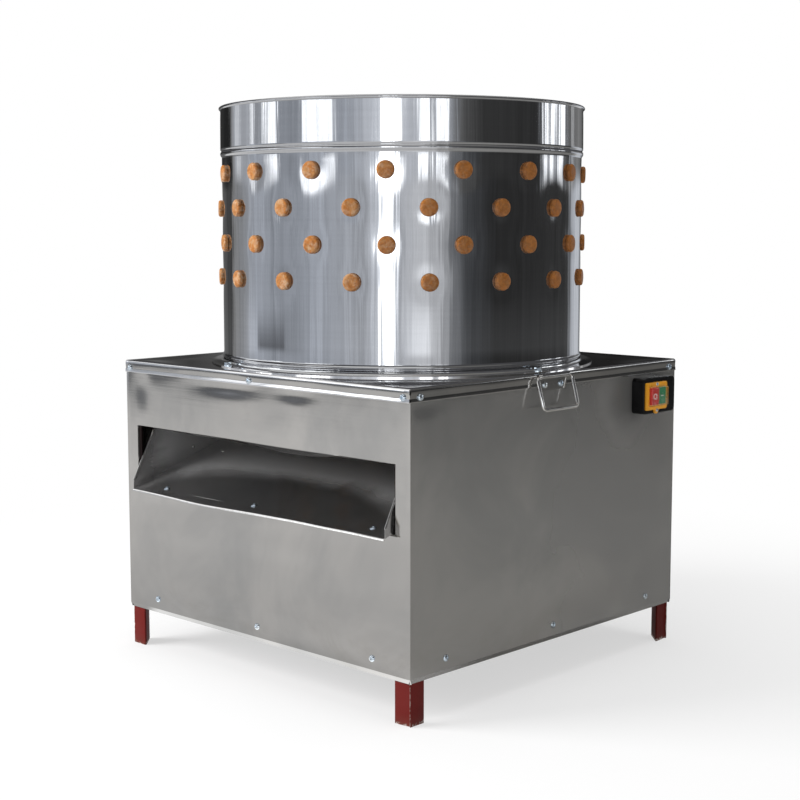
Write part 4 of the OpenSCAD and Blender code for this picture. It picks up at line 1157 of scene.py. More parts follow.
@dataclass
class Cover:
    """The square top cover with its bent skirt and rolled hem."""

    half: float = 332.0
    top: float = 490.0
    hole_r: float = 292.0
    skirt: float = 20.0
    hem: float = 1.0
    corner: float = 2.6
    bracket_at: float = -12.0
    bracket_half: float = 35.0
    side_points: int = 48
    corner_points: int = 5
    bend_in: float = 3.6
    shares: Sequence[float] = (0.12, 0.28, 0.46, 0.64, 0.8, 0.92, 1.0)

    def square(self, half: float) -> list[Vector]:
        """Points round a square with rounded corners.

        Args:
            half: Half the size of the square.

        Returns:
            The points, as many for every size.
        """
        radius = self.corner
        points = []
        for quarter in range(4):
            turn = Matrix.Rotation(quarter * math.pi / 2, 3, "Z")
            reach = half - radius
            for i in range(self.side_points):
                points.append(turn @ Vector((-reach + 2 * reach * i / self.side_points, -half, 0.0)))
            for i in range(self.corner_points):
                a = -math.pi / 2 + i / self.corner_points * math.pi / 2
                points.append(turn @ Vector((reach + radius * math.cos(a), -reach + radius * math.sin(a), 0.0)))
        return points

    def hem_stop(self, p: Vector) -> float:
        """How much of the hem stands out at a point.

        Args:
            p: The point.

        Returns:
            The share: little on the sides and none behind the handle brackets.
        """
        for sign in (1, -1):
            if sign * p.x > self.half - 5:
                return 0.0 if abs(p.y - sign * self.bracket_at) < self.bracket_half else 0.3
        return 1.0

    def build(self) -> None:
        """Makes the cover from the hole outwards."""
        m = Mesher()
        edge = self.square(self.half - self.bend_in)
        circle = [p.normalized() * self.hole_r for p in edge]
        loop = m.loop([(p.x, p.y, self.top - 1.0) for p in circle])
        loop = m.grow(loop, [(p.x, p.y, self.top) for p in circle])
        for share in self.shares:
            points = []
            for p, q in zip(circle, edge):
                s = p.lerp(q, share)
                sag = smooth_step(324.0, 400.0, s.length) * (0.35 + 0.35 * noise.noise(s * 0.012))
                points.append((s.x, s.y, self.top - sag * smooth_step(0.0, 0.4, 1.02 - share)))
            loop = m.grow(loop, points)
        z = self.top
        low = z - self.skirt
        bend = [(-1.7, z - 0.35, 0), (-0.6, z - 1.3, 0), (-0.1, z - 2.8, 0), (0.0, z - 4.4, 0)]
        skirt = [(-0.14, z - 8.5, 1), (-0.3, low + 6.2, 1)]
        hem = [(0.05, low + 5.8), (1.0, low + 1.8), (1.05, low + 1.0), (0.5, low)]
        hem = [(self.hem * out, level, 1) for out, level in hem]
        for out, level, wavy in bend + skirt + hem:
            points = []
            for p, q in zip(self.square(self.half), self.square(self.half + out)):
                wave = 0.22 * noise.noise(Vector((p.x, p.y, level)) * 0.014) * wavy
                keep = self.hem_stop(p) if out > 0 else 1.0
                s = p.lerp(q, keep) * (1.0 + wave / self.half)
                ragged = 0.5 * noise.noise(Vector((p.x, p.y, 3.0)) * 0.02) if level < z - 14 else 0.0
                points.append((s.x, s.y, level + ragged))
            loop = m.grow(loop, points)
        m.outward(lambda f: f.normal.z if f.calc_center_median().z > self.top - 0.5 else 0.0)
        slit = self.half - 1.6
        m.drop(lambda c: c.z < self.top - 1.6 and abs(c.x) > slit and abs(c.y) > slit)
        # Painted light on one sheet: the top, the fold and the hem take the brighter steel as painted highlight, and
        # the flat skirt and the right-hand edge take the darker sheet steel as painted shade.
        m.second(lambda c: low + 6.0 < c.z < z - 4.5 or c.x > self.half - 2.5)
        finishes = [Slots.HIGHLIGHT_STEEL, Slots.SHEET]
        m.piece("cover_sheet", Body.CABINET, finishes, ["top_cover"], "stainless_sheet", 16.0, 1.0)


@dataclass
class Dent:
    """A soft dent in a panel: its middle, its half sizes and its depth inwards."""

    x: float
    z: float
    wide: float
    tall: float
    deep: float

    def depth(self, x: float, z: float) -> float:
        """How deep the dent is at a point."""
        return self.deep * hump(math.hypot((x - self.x) / self.wide, (z - self.z) / self.tall), 1.0)


@dataclass
class Panels:
    """The four cabinet panels: thin sheet, bent in at the foot, drawn in at its screws and slightly buckled."""

    half: float = 330.5
    inner: float = 329.5
    low: float = 64.5
    high: float = 488.1
    lip_h: float = 7.0
    lip_in: float = 2.5
    sheet: float = 1.0
    opening_half: float = 302.0
    opening_low: float = 278.4
    opening_high: float = 381.0
    edge_roll: float = 9.0
    screws: Sequence[Point] = ((-254.0, 88.5), (0.0, 88.5), (254.0, 88.5))
    rails: Sequence[Point] = ((458.5, 488.5), (73.5, 103.5), (160.0, 190.0))
    rail_half: float = 297.0
    room: float = 0.7
    give: float = 0.25
    corner_room: float = 2.4
    screw_pull: float = 0.3
    pull_r: float = 16.0
    columns: int = 132
    rows: int = 86
    cable_at: Point = (-200.0, 130.0)
    cable_r: float = 8.2
    front_dents: Sequence[Dent] = (
        Dent(-70.0, 461.0, 66.0, 10.0, 0.6), Dent(88.0, 462.0, 36.0, 9.0, 0.5),
        Dent(-288.0, 446.0, 20.0, 28.0, 0.9), Dent(-312.0, 420.0, 9.0, 50.0, 0.4),
        Dent(300.0, 452.0, 10.0, 24.0, 0.35), Dent(-85.0, 281.0, 46.0, 11.0, 0.65),
        Dent(22.0, 281.0, 24.0, 9.0, 0.5), Dent(-305.0, 262.0, 14.0, 60.0, 0.4),
        Dent(40.0, 225.0, 170.0, 22.0, 0.5),
    )
    right_dents: Sequence[Dent] = (
        Dent(-304.0, 464.0, 30.0, 15.0, 1.0), Dent(-60.0, 250.0, 190.0, 120.0, -1.1),
        Dent(150.0, 290.0, 120.0, 60.0, 0.8),
    )
    plain_dents: Sequence[Dent] = (
        Dent(90.0, 300.0, 180.0, 110.0, 0.9), Dent(-160.0, 180.0, 120.0, 70.0, -0.8),
    )

    def inward(self, side: Side, dents: Sequence[Dent], x: float, z: float, half: float) -> float:
        """How far a point of a panel lies inside its plane.

        Args:
            side: The panel's side.
            dents: Its dents.
            x: The place along the panel.
            z: The height.
            half: Half the panel's width.

        Returns:
            The depth.
        """
        at, seed = Vector((x, 0.0, z)), Vector((0.0, 17.0 * side.value, 0.0))
        wave = 0.5 * noise.noise(at * 0.006 + seed) + 0.16 * noise.noise(at * 0.017 + seed)
        wave += 0.14 * noise.noise(Vector((x * 0.007, 3.0, z * 0.03)) + seed)
        free = smooth_step(0.0, 60.0, half - abs(x)) * smooth_step(0.0, 40.0, z - self.low - self.lip_h)
        free *= smooth_step(0.0, 30.0, self.high - z)
        pulled = sum(self.screw_pull * hump(math.hypot(x - sx, z - sz), self.pull_r) for sx, sz in self.screws)
        dented = sum(d.depth(x, z) for d in dents) * smooth_step(0.0, 14.0, self.high + 6.0 - z)
        foot = max(0.0, (self.low + self.lip_h - z) / self.lip_h) * self.lip_in
        rolled = max(0.0, 1.0 - (half - abs(x)) / self.edge_roll) ** 2 * 0.55
        soft = wave * 0.9 * free + pulled + dented * smooth_step(0.0, 10.0, half - abs(x))
        return min(soft, self.slack(x, z)) + foot + rolled

    def slack(self, x: float, z: float) -> float:
        """How far the sheet can give before it meets the iron behind it.

        Args:
            x: The place along the panel.
            z: The height.

        Returns:
            The depth.
        """
        if abs(x) > self.rail_half + 2.0:
            return self.corner_room
        away = min(max(low - z, z - high, 0.0) for low, high in self.rails)
        return self.room + self.give * away

    def sheet_on(self, side: Side, dents: Sequence[Dent], half: float) -> Mesher:
        """A gridded panel in the plane of the front, bent and dented but not yet turned.

        Args:
            side: The panel's side.
            dents: Its dents.
            half: Half its width.

        Returns:
            The panel's mesh.
        """
        m = Mesher().grid(self.columns, self.rows, 2 * half, self.high - self.low)
        middle = (self.high + self.low) / 2
        m.turn(Matrix(((1, 0, 0, 0), (0, 0, -1, -self.half), (0, 1, 0, middle), (0, 0, 0, 1))))
        m.cut((0, 0, self.low + self.lip_h), (0, 0, 1))
        if side is Side.FRONT:
            for x in (-self.opening_half, self.opening_half):
                m.cut((x, 0, 0), (1, 0, 0))
            for z in (self.opening_low, self.opening_high):
                m.cut((0, 0, z), (0, 0, 1))
            m.drop(lambda c: abs(c.x) < self.opening_half and self.opening_low < c.z < self.opening_high)
        if side is Side.REAR:
            centre = Vector((self.cable_at[0], -self.half, self.cable_at[1]))
            m.drop(lambda c: (c - centre).length < self.cable_r)
            for v in m.bm.verts:
                if v.is_boundary and (v.co - centre).length < 2 * self.cable_r:
                    v.co = centre + (v.co - centre).normalized() * self.cable_r
        m.shift(lambda p: (p.x, p.y + self.inward(side, dents, p.x, p.z, half), p.z))
        return m

    def fold_sag(self, x: float) -> float:
        """How far the fold over the opening hangs down along its width."""
        return 3.4 * hump(x + 160.0, 70.0) + 11.5 * hump(x - 75.0, 105.0) + 0.5

    def build(self) -> None:
        """Makes the four panels."""
        front = self.sheet_on(Side.FRONT, self.front_dents, self.half)
        wide, low, top = self.opening_half, self.opening_low, self.opening_high
        front.rim(lambda c: abs(c.z - top) < 0.5 and abs(c.x) < wide + 0.1, [
            lambda p: (p.x, p.y + 0.5, p.z - 0.4 - 0.08 * self.fold_sag(p.x)),
            lambda p: (p.x, p.y + 0.5 + 0.4 * self.fold_sag(p.x), p.z - 0.44 * self.fold_sag(p.x)),
            lambda p: (p.x, p.y + 0.8 + 0.4 * self.fold_sag(p.x), p.z - 0.42 * self.fold_sag(p.x)),
            lambda p: (p.x, p.y + 1.2, p.z - 0.3),
            lambda p: (p.x, p.y + 9.0, p.z + 1.2),
        ])
        front.rim(lambda c: abs(abs(c.x) - wide) < 0.5 and low < c.z < top, [
            lambda p: (p.x - math.copysign(0.3, p.x), p.y + 1.2, p.z),
            lambda p: (p.x, p.y + 5.0, p.z),
        ])
        front.piece("front_sheet", Body.CABINET, [Slots.SHEET], ["front_panel"], "stainless_sheet", 15.0, self.sheet)
        for side, name, half, dents in (
            (Side.RIGHT, "right", self.inner, self.right_dents),
            (Side.REAR, "rear", self.half, self.plain_dents),
            (Side.LEFT, "left", self.inner, self.plain_dents),
        ):
            m = self.sheet_on(side, dents, half).turn(side.turn)
            finish = Slots.SWITCH_REFLECTION if side is Side.RIGHT else Slots.SHEET
            nodes = [f"{name}_panel"]
            m.piece(f"{name}_sheet", Body.CABINET, [finish], nodes, "stainless_sheet", 15.0, self.sheet)


@dataclass
class Chute:
    """The feather chute: a sloping floor with a rolled lip between two leaning side plates."""

    half: float = 295.0
    lip_y: float = -345.7
    lip_z: float = 275.5
    slope: float = 18.5
    level_y: float = 250.0
    end_y: float = 295.8
    side_h: float = 12.0
    lean: float = 100.0
    side_top: float = 485.0
    collar_r: float = 29.6
    sheet: float = 1.0
    rivets: Sequence[Point] = ((-246.0, -191.5), (-150.0, -40.0))
    plate_rivet: Point = (-216.7, 332.6)
    hem_r: float = 1.9
    hole_half: float = 34.0
    wave_reach: float = 90.0
    flange: float = 10.5
    lip_roll: Sequence[Point] = ((-1.0, -0.15), (-0.8, -0.9), (-0.6, -2.6), (0.5, -0.5), (1.6, 0.3))
    head: Sequence[Point] = ((0.0, -0.6), (2.9, -0.6), (2.9, 0.0), (2.7, 0.5), (1.9, 1.1), (0.9, 1.4), (0.0, 1.5))

    def height(self, y: float) -> float:
        """The height of the floor at a place."""
        return self.lip_z + math.tan(math.radians(self.slope)) * (min(y, self.level_y) - self.lip_y)

    def lip_wave(self, x: float) -> float:
        """How far the lip hangs or lifts along its width."""
        return -2.6 * hump(x + 110.0, 95.0) + 0.8 * hump(x - 110.0, 80.0)

    def floor_at(self, x: float, y: float) -> float:
        """The height of the floor with the wave of its lip."""
        return self.height(y) + self.lip_wave(x) * smooth_step(self.wave_reach, 0.0, y - self.lip_y)

    def buckle(self, p: Vector) -> float:
        """How far the floor bulges at a point, clear of its sides and its hole."""
        bulge = 0.8 * noise.noise(Vector((p.x, p.y, 5.0)) * 0.011) * smooth_step(0.0, 50.0, self.half - abs(p.x))
        return bulge * smooth_step(40.0, 90.0, math.hypot(p.x, p.y))

    def rivet(self) -> bpy.types.Mesh:
        """A closed button head along Z, in the second finish."""
        return Mesher().lathe(self.head, 14).dye(1).mesh("rivet")

    def floor(self) -> None:
        """Makes the floor, its lip, its shaft hole and its rivets."""
        m = Mesher().grid(60, 66, 2 * self.half, self.end_y - self.lip_y)
        m.turn(Matrix.Translation((0, (self.end_y + self.lip_y) / 2, 0)))
        m.cut((0, self.level_y, 0), (0, 1, 0))
        hole = self.hole_half
        for sign in (-1, 1):
            m.cut((sign * hole, 0, 0), (1, 0, 0))
            m.cut((0, sign * hole, 0), (0, 1, 0))
        m.drop(lambda c: abs(c.x) < hole and abs(c.y) < hole)
        m.rim(
            lambda c: max(abs(c.x), abs(c.y)) < hole + 2.0,
            [lambda p: Vector((p.x, p.y, 0.0)).normalized() * self.collar_r],
        )
        m.shift(lambda p: (p.x, p.y, self.floor_at(p.x, p.y) + self.buckle(p)))
        m.rim(
            lambda c: c.y < self.lip_y + 0.5,
            [lambda p, dy=dy, dz=dz: (p.x, p.y + dy, p.z + dz) for dy, dz in self.lip_roll],
        )
        m.outward(lambda f: f.normal.z)
        m.second(lambda c: c.y < self.lip_y + 0.05)
        tilt = Matrix.Rotation(math.radians(self.slope), 4, "X")
        for x, y in self.rivets:
            m.add(self.rivet(), Matrix.Translation((x, y, self.floor_at(x, y) + 0.3)) @ tilt)
        finishes = [Slots.CHUTE, Slots.WIRE]
        m.piece("chute_bed", Body.CABINET, finishes, ["chute_floor"], "stainless_sheet", 30.0, self.sheet)

    def plate(self, sign: int, name: str, node: str) -> None:
        """Makes one side plate with a stiffening roll on its leaning edge.

        Args:
            sign: 1 on the right and -1 on the left.
            name: The piece's name.
            node: The node that it stands for.
        """
        front, back, top = self.lip_y, self.end_y, self.side_top
        points = [
            (front, self.height(front) - 1.0), (front, self.lip_z + self.side_h), (front + self.lean, top),
            (back, top), (back, self.height(back) - 1.0), (self.level_y, self.height(self.level_y) - 1.0),
        ]
        m = Mesher().prism([(0.0, y, z) for y, z in points], (self.sheet, 0, 0))
        m.bevel(m.bm.edges[:], 0.3, 2)
        start = Vector((0.5, front + 0.8, self.lip_z + self.side_h))
        along, r = Vector((0.5, front + self.lean + 1, top - 2)) - start, self.hem_r
        far = along.length
        ends = [(0.0, 0.0), (r - 0.3, 0.1), (r, 0.6), (r, far - 0.6), (r - 0.3, far - 0.1), (0.0, far)]
        rod = Mesher().lathe(ends, 16).dye(1).mesh("hem")
        m.dye(0).add(rod, Matrix.Translation(start) @ along.to_track_quat("Z", "Y").to_matrix().to_4x4())
        y, z = self.plate_rivet
        inside = Matrix.Rotation(-sign * math.pi / 2, 4, "Y")
        m.add(self.rivet(), Matrix.Translation((0.5 - sign * 0.7, y, z)) @ inside)
        m.turn(Matrix.Translation((self.half if sign > 0 else -self.half - self.sheet, 0, 0)))
        near, out = sorted((sign * self.half, sign * (self.half + self.flange)))
        m.block((near, front + self.lean, top - 0.5), (out, back, top + 0.5), 0.25)
        m.piece(name, Body.CABINET, [Slots.CHUTE, Slots.WIRE], [node], "stainless_sheet", 30.0)

    def build(self) -> None:
        """Makes the floor and both plates."""
        self.floor()
        self.plate(1, "chute_plate_right", "chute_right_side")
        self.plate(-1, "chute_plate_left", "chute_left_side")


@dataclass
class Legs:
    """The angle-iron legs."""

    half: float = 326.8
    flange: float = 30.0
    thick: float = 3.0
    top: float = 488.5
    edge: float = 0.55
    names: Sequence[str] = ("leg_front_left", "leg_front_right", "leg_rear_right", "leg_rear_left")

    def build(self) -> None:
        """Makes the four legs, each with rolled edges and a sawn foot."""
        w, t = self.flange, self.thick
        section = [(0.0, 0.0), (w, 0.0), (w, t), (t, t), (t, w), (0.0, w)]
        for side, node in zip(Side, self.names):
            m = Mesher().prism([(x, y, 0.0) for x, y in section], (0, 0, self.top))
            m.bevel(m.bm.edges[:], self.edge, 3)
            m.turn(side.turn @ Matrix.Translation((-self.half, -self.half, 0)))
            m.piece(f"iron_{node}", Body.CABINET, [Slots.FRAME], [node], "frame_paint", 30.0)


@dataclass
class Switch:
    """The push-button switch on the right side: box, plate, two buttons and a clear hood."""

    along: float = 250.0
    mid: float = 435.5
    face: float = 330.5
    box_w: float = 90.0
    box_h: float = 59.0
    box_d: float = 24.0
    plate_w: float = 60.0
    plate_h: float = 45.5
    plate_t: float = 3.0
    shift: float = 12.0
    button_w: float = 21.0
    button_h: float = 28.0
    back: float = 18.5
    gap: float = 0.4
    hood_d: float = 8.0
    corner_steps: int = 6
    lug_at: Point = (36.0, 20.0)
    stop_out: float = 4.5
    start_out: float = 3.5

    @property
    def window(self) -> Point:
        """The width and the height of the plate's window."""
        return 2 * self.button_w + 3 * self.gap, self.button_h + 2 * self.gap

    @property
    def front(self) -> float:
        """How far the plate's face stands out of the panel."""
        return self.box_d + self.plate_t

    def frame(self, shift: float = 0.0) -> Matrix:
        """Takes X along the side, Y up and Z out of the panel to the switch's place."""
        return Matrix(((0, 0, 1, self.face), (1, 0, 0, self.along - shift), (0, 1, 0, self.mid), (0, 0, 0, 1)))

    def rounded(self, w: float, h: float, r: float, z: float) -> list[Vector]:
        """Points round a rectangle with rounded corners.

        Args:
            w: The width.
            h: The height.
            r: The radius of the corners.
            z: The place along Z.

        Returns:
            The points, in order.
        """
        made = []
        for cx, cy, start in ((1, 1, 0.0), (-1, 1, 90.0), (-1, -1, 180.0), (1, -1, 270.0)):
            for i in range(self.corner_steps + 1):
                a = math.radians(start + 90.0 * i / self.corner_steps)
                made.append(Vector((cx * (w / 2 - r) + r * math.cos(a), cy * (h / 2 - r) + r * math.sin(a), z)))
        return made

    def skin(self, levels: Sequence[tuple[float, float, float, float]], cap: bool = True) -> Mesher:
        """Stacks rounded rectangles into a skin.

        Args:
            levels: Width, height, corner radius and place along Z of each.
            cap: Whether the last one is filled.

        Returns:
            The mesh.
        """
        m = Mesher()
        loop = m.loop(self.rounded(*levels[0]))
        for level in levels[1:]:
            loop = m.grow(loop, self.rounded(*level))
        if cap:
            bmesh.ops.contextual_create(m.bm, geom=loop)
        return m

    def button(
        self, name: str, body: Body, node: str, finish: Finish, slot: str, x: float, out: float, mark: bpy.types.Mesh
    ) -> None:
        """Makes one button with its mark.

        Args:
            name: The piece's name.
            body: The body that it rides on.
            node: The node that it stands for.
            finish: The plastic.
            slot: The record's slot.
            x: The middle of the button along the plate.
            out: How far it stands out of the plate.
            mark: The mark's mesh about the origin.
        """
        top = self.front + out
        w, h = self.button_w, self.button_h
        m = self.skin([
            (w, h, 0.8, self.back), (w, h, 0.8, top - 1.4), (w - 0.5, h - 0.5, 0.9, top - 0.5),
            (w - 1.6, h - 1.6, 1.2, top), (w - 7.0, h - 9.0, 2.5, top - 0.55),
        ])
        m.outward(lambda f: f.normal.z)
        m.dye(0).add(mark, Matrix.Translation((0, 0, top - 0.62)))
        m.turn(self.frame(self.shift) @ Matrix.Translation((x, 0, 0)))
        m.piece(name, body, [finish, Slots.MARK], [node], slot, 30.0)

    def case(self) -> None:
        """Makes the box with the lug of its cover."""
        w, h, d = self.box_w, self.box_h, self.box_d
        box = self.skin([
            (w, h, 7.0, 0.2), (w, h, 7.0, d - 2.2), (w - 0.7, h - 0.7, 6.8, d - 0.8),
            (w - 2.4, h - 2.4, 6.2, d), (w - 9.0, h - 7.0, 5.0, d),
        ])
        lug = Mesher().lathe([(0.0, d - 0.2), (3.2, d - 0.2), (3.0, d + 0.5), (0.0, d + 0.7)], 16).mesh("lug")
        box.outward(lambda f: f.normal.z)
        box.add(lug, Matrix.Translation((*self.lug_at, 0.0))).turn(self.frame())
        box.piece("switch_case", Body.CABINET, [Slots.BLACK], ["switch_box"], "black_plastic", 30.0)

    def plate(self) -> None:
        """Makes the plate with its window and the ear of its lower screw."""
        w, h, d, z = self.plate_w, self.plate_h, self.box_d, self.front
        ww, wh = self.window
        plate = self.skin([
            (w, h, 3.0, d), (w, h, 3.0, z - 0.8), (w - 0.5, h - 0.5, 2.9, z - 0.2), (w - 1.6, h - 1.6, 2.6, z),
            (ww + 4.0, wh + 4.0, 1.4, z), (ww + 3.0, wh + 3.0, 1.2, z + 0.5), (ww + 0.6, wh + 0.6, 0.8, z + 0.5),
            (ww, wh, 0.6, z), (ww, wh, 0.6, d),
        ], cap=False)
        plate.outward(lambda f: f.normal.z)
        ear = Mesher().lathe([(0.0, d), (6.0, d), (6.0, z - 0.7), (5.5, z - 0.1), (0.0, z - 0.05)], 32).mesh("ear")
        plate.add(ear, Matrix.Translation((0, -h / 2 - 1.0, 0))).turn(self.frame(self.shift))
        plate.piece("switch_face", Body.CABINET, [Slots.YELLOW], ["switch_plate"], "yellow_plastic", 30.0)

    def buttons(self) -> None:
        """Makes both buttons, marked with a ring and a bar."""
        ring = Mesher().lathe([(3.3, 0.0), (3.4, 0.45), (4.9, 0.45), (5.0, 0.0)], 28).dye(1).mesh("ring_mark")
        bar = Mesher().block((-3.6, -0.75, 0.0), (3.6, 0.75, 0.45), 0.12).dye(1).mesh("bar_mark")
        reach = (self.button_w + self.gap) / 2
        self.button("stop_cap", Body.STOP, "stop_button", Slots.RED, "red_plastic", -reach, self.stop_out, ring)
        self.button("start_cap", Body.START, "start_button", Slots.GREEN, "green_plastic", reach, self.start_out, bar)

    def hood(self) -> None:
        """Makes the clear hood over the buttons."""
        w, h = self.window[0] + 5.0, self.window[1] + 4.0
        low, top = self.front, self.front + self.hood_d
        hood = self.skin([
            (w + 1.2, h + 1.2, 3.0, low + 0.55), (w, h, 2.5, low + 1.3), (w - 0.4, h - 0.4, 2.5, top - 2.2),
            (w - 1.2, h - 1.2, 2.6, top - 0.6), (w - 4.0, h - 4.0, 2.4, top),
        ])
        hood.outward(lambda f: f.normal.z).turn(self.frame(self.shift))
        hood.piece("clear_guard", Body.CABINET, [Slots.CLEAR], ["button_hood"], "clear_plastic", 30.0, 0.8)

    def build(self) -> None:
        """Makes the five pieces of the switch."""
        self.case()
        self.plate()
        self.buttons()
        self.hood()


@dataclass
class Handles:
    """The two lifting handles, each bent from one wire that is thinner inside its bracket."""

    at: float = -12.0
    pivot_out: float = 337.6
    pivot_z: float = 486.5
    tilt: float = 15.0
    width: float = 86.0
    height: float = 52.0
    bend: float = 7.0
    bar_r: float = 2.0
    grip_r: float = 2.9
    bend_steps: int = 6
    sides: int = 14

    def stations(self) -> list[tuple[Vector, Vector]]:
        """The wire's axis round the loop.

        Returns:
            Places in order, each with the direction out of the loop.
        """
        made = []
        half, b = self.width / 2 - self.bend, self.bend
        low = b - self.height
        for x, z, start in ((half, -b, 0), (-half, -b, 90), (-half, low, 180), (half, low, 270)):
            for i in range(self.bend_steps + 1):
                a = math.radians(start + 90.0 * i / self.bend_steps)
                out = Vector((math.cos(a), 0.0, math.sin(a)))
                made.append((Vector((x, 0.0, z)) + out * b, out))
        return made

    def ring(self, centre: Vector, out: Vector) -> list[Vector]:
        """Points round the wire at one station.

        Args:
            centre: The station.
            out: The direction out of the loop.

        Returns:
            The points, in order.
        """
        radius = self.grip_r + (self.bar_r - self.grip_r) * max(0.0, out.z)
        turns = [2 * math.pi * i / self.sides for i in range(self.sides)]
        return [centre + (out * math.cos(t) + Vector((0.0, 1.0, 0.0)) * math.sin(t)) * radius for t in turns]

    def build(self) -> None:
        """Bends both handles."""
        rings = [self.ring(centre, out) for centre, out in self.stations()]
        pivot = Matrix.Translation((self.at, -self.pivot_out, self.pivot_z))
        hang = pivot @ Matrix.Rotation(math.radians(-self.tilt), 4, "X")
        for side, body, node in (
            (Side.RIGHT, Body.RIGHT_HANDLE, "right_handle"),
            (Side.LEFT, Body.LEFT_HANDLE, "left_handle"),
        ):
            m = Mesher()
            loop = m.loop(rings[0])
            for points in rings[1:] + rings[:1]:
                loop = m.grow(loop, points)
            bmesh.ops.remove_doubles(m.bm, verts=m.bm.verts, dist=WELD)
            bmesh.ops.recalc_face_normals(m.bm, faces=m.bm.faces)
            m.turn(side.turn @ hang).piece(f"{node}_wire", body, [Slots.WIRE], [node], "wire_chrome", 60.0)


@dataclass
class Screws:
    """The pan-head screws with cross recesses."""

    head_r: float = 5.4
    head_h: float = 3.4
    skirt_z: float = 477.4
    cover_half: float = 332.0
    panel_half: float = 330.5
    bracket_face: float = 334.0
    bracket_z: float = 473.0
    panel_z: float = 88.5
    front_x: Sequence[float] = (-318.0, -12.0, 318.0)
    side_x: Sequence[float] = (-311.0, 311.0)
    panel_x: Sequence[float] = (-254.0, 0.0, 254.0)
    bracket_x: Sequence[float] = (-32.0, 8.0)
    chute_x: Sequence[float] = (-228.0, -8.0, 254.0)
    chute_in: float = 18.0
    sunk: float = 0.6
    dome: Sequence[Point] = (
        (0.97, 0.0), (1.0, 0.16), (0.97, 0.42), (0.86, 0.66), (0.7, 0.84),
        (0.5, 0.94), (0.34, 0.98), (0.17, 1.0), (0.0, 1.0),
    )
    plate_y: Sequence[float] = (19.6, -23.75)

    def template(self, r: float, h: float, shank: float) -> bpy.types.Mesh:
        """One screw along Z with its seat at 0.

        Args:
            r: The radius of the head.
            h: The height of the head.
            shank: The length of the shank.

        Returns:
            The screw's mesh.
        """
        dome = [(r * 0.5, -shank), (r * 0.5, 0.0)] + [(r * wide, h * tall) for wide, tall in self.dome]
        m = Mesher().lathe(dome, 24)
        for v in m.bm.verts:
            radius = math.hypot(v.co.x, v.co.y)
            if v.co.z > h * 0.9 and radius < r * 0.52:
                angle = math.atan2(v.co.y, v.co.x) % (math.pi / 2)
                arm = min(angle, math.pi / 2 - angle) < 0.14 or radius < r * 0.2
                v.co.z -= h * (0.5 if arm and radius < r * 0.4 else 0.0)
        return m.mesh("screw")

    def build(self) -> None:
        """Sets every screw in its place."""
        m = Mesher()
        big = self.template(self.head_r, self.head_h, 9.0)
        flat = self.template(self.head_r * 0.92, self.head_h * 0.6, 3.0)
        small = self.template(3.0, 2.2, 5.0)
        spots: list[Matrix] = []
        for side in Side:
            even = side.value % 2 == 0
            places = [(x, self.cover_half, self.skirt_z) for x in (self.front_x if even else self.side_x)]
            places += [(x, self.panel_half - self.sunk, self.panel_z) for x in self.panel_x]
            if not even:
                places += [(x, self.bracket_face, self.bracket_z) for x in self.bracket_x]
            level = Matrix.Rotation(math.pi / 2, 4, "X")
            spots += [side.turn @ Matrix.Translation((x, -out, z)) @ level for x, out, z in places]
        for i, spot in enumerate(spots):
            m.add(big, spot @ Matrix.Rotation(0.9 * i, 4, "Z"))
        chute = Chute()
        for i, x in enumerate(self.chute_x):
            y = chute.lip_y + self.chute_in
            seat = Matrix.Translation((x, y, chute.floor_at(x, y)))
            tilt = Matrix.Rotation(math.radians(chute.slope), 4, "X")
            m.add(flat, seat @ tilt @ Matrix.Rotation(1.1 * i, 4, "Z"))
        switch = Switch()
        for i, y in enumerate(self.plate_y):
            seat = switch.frame(switch.shift) @ Matrix.Translation((0, y, switch.front))
            m.add(small, seat @ Matrix.Rotation(0.6 + i, 4, "Z"))
        m.piece("zinc_screws", Body.CABINET, [Slots.ZINC], ["sheet_screws"], "zinc_steel", 40.0)


@dataclass
class Carried:
    """The nodes that keep their own shape and take a finish from the record's slot."""

    finishes: dict[str, Finish] = field(default_factory=Slots.table)
    special: dict[str, Finish] = field(default_factory=lambda: {"handle_brackets": Slots.SHEET})

    def build(self) -> None:
        """Dresses every node that still shows."""
        for row in frame["record"]["subparts"]:
            node = frame["nodes"][row["node"]]
            if node.hide_render:
                continue
            material = self.special.get(row["node"], self.finishes[row["material_slot"]]).material()
            for slot in node.material_slots:
                slot.material = material
            LOG.info("%s: dressed as %s", node.name, material.name)


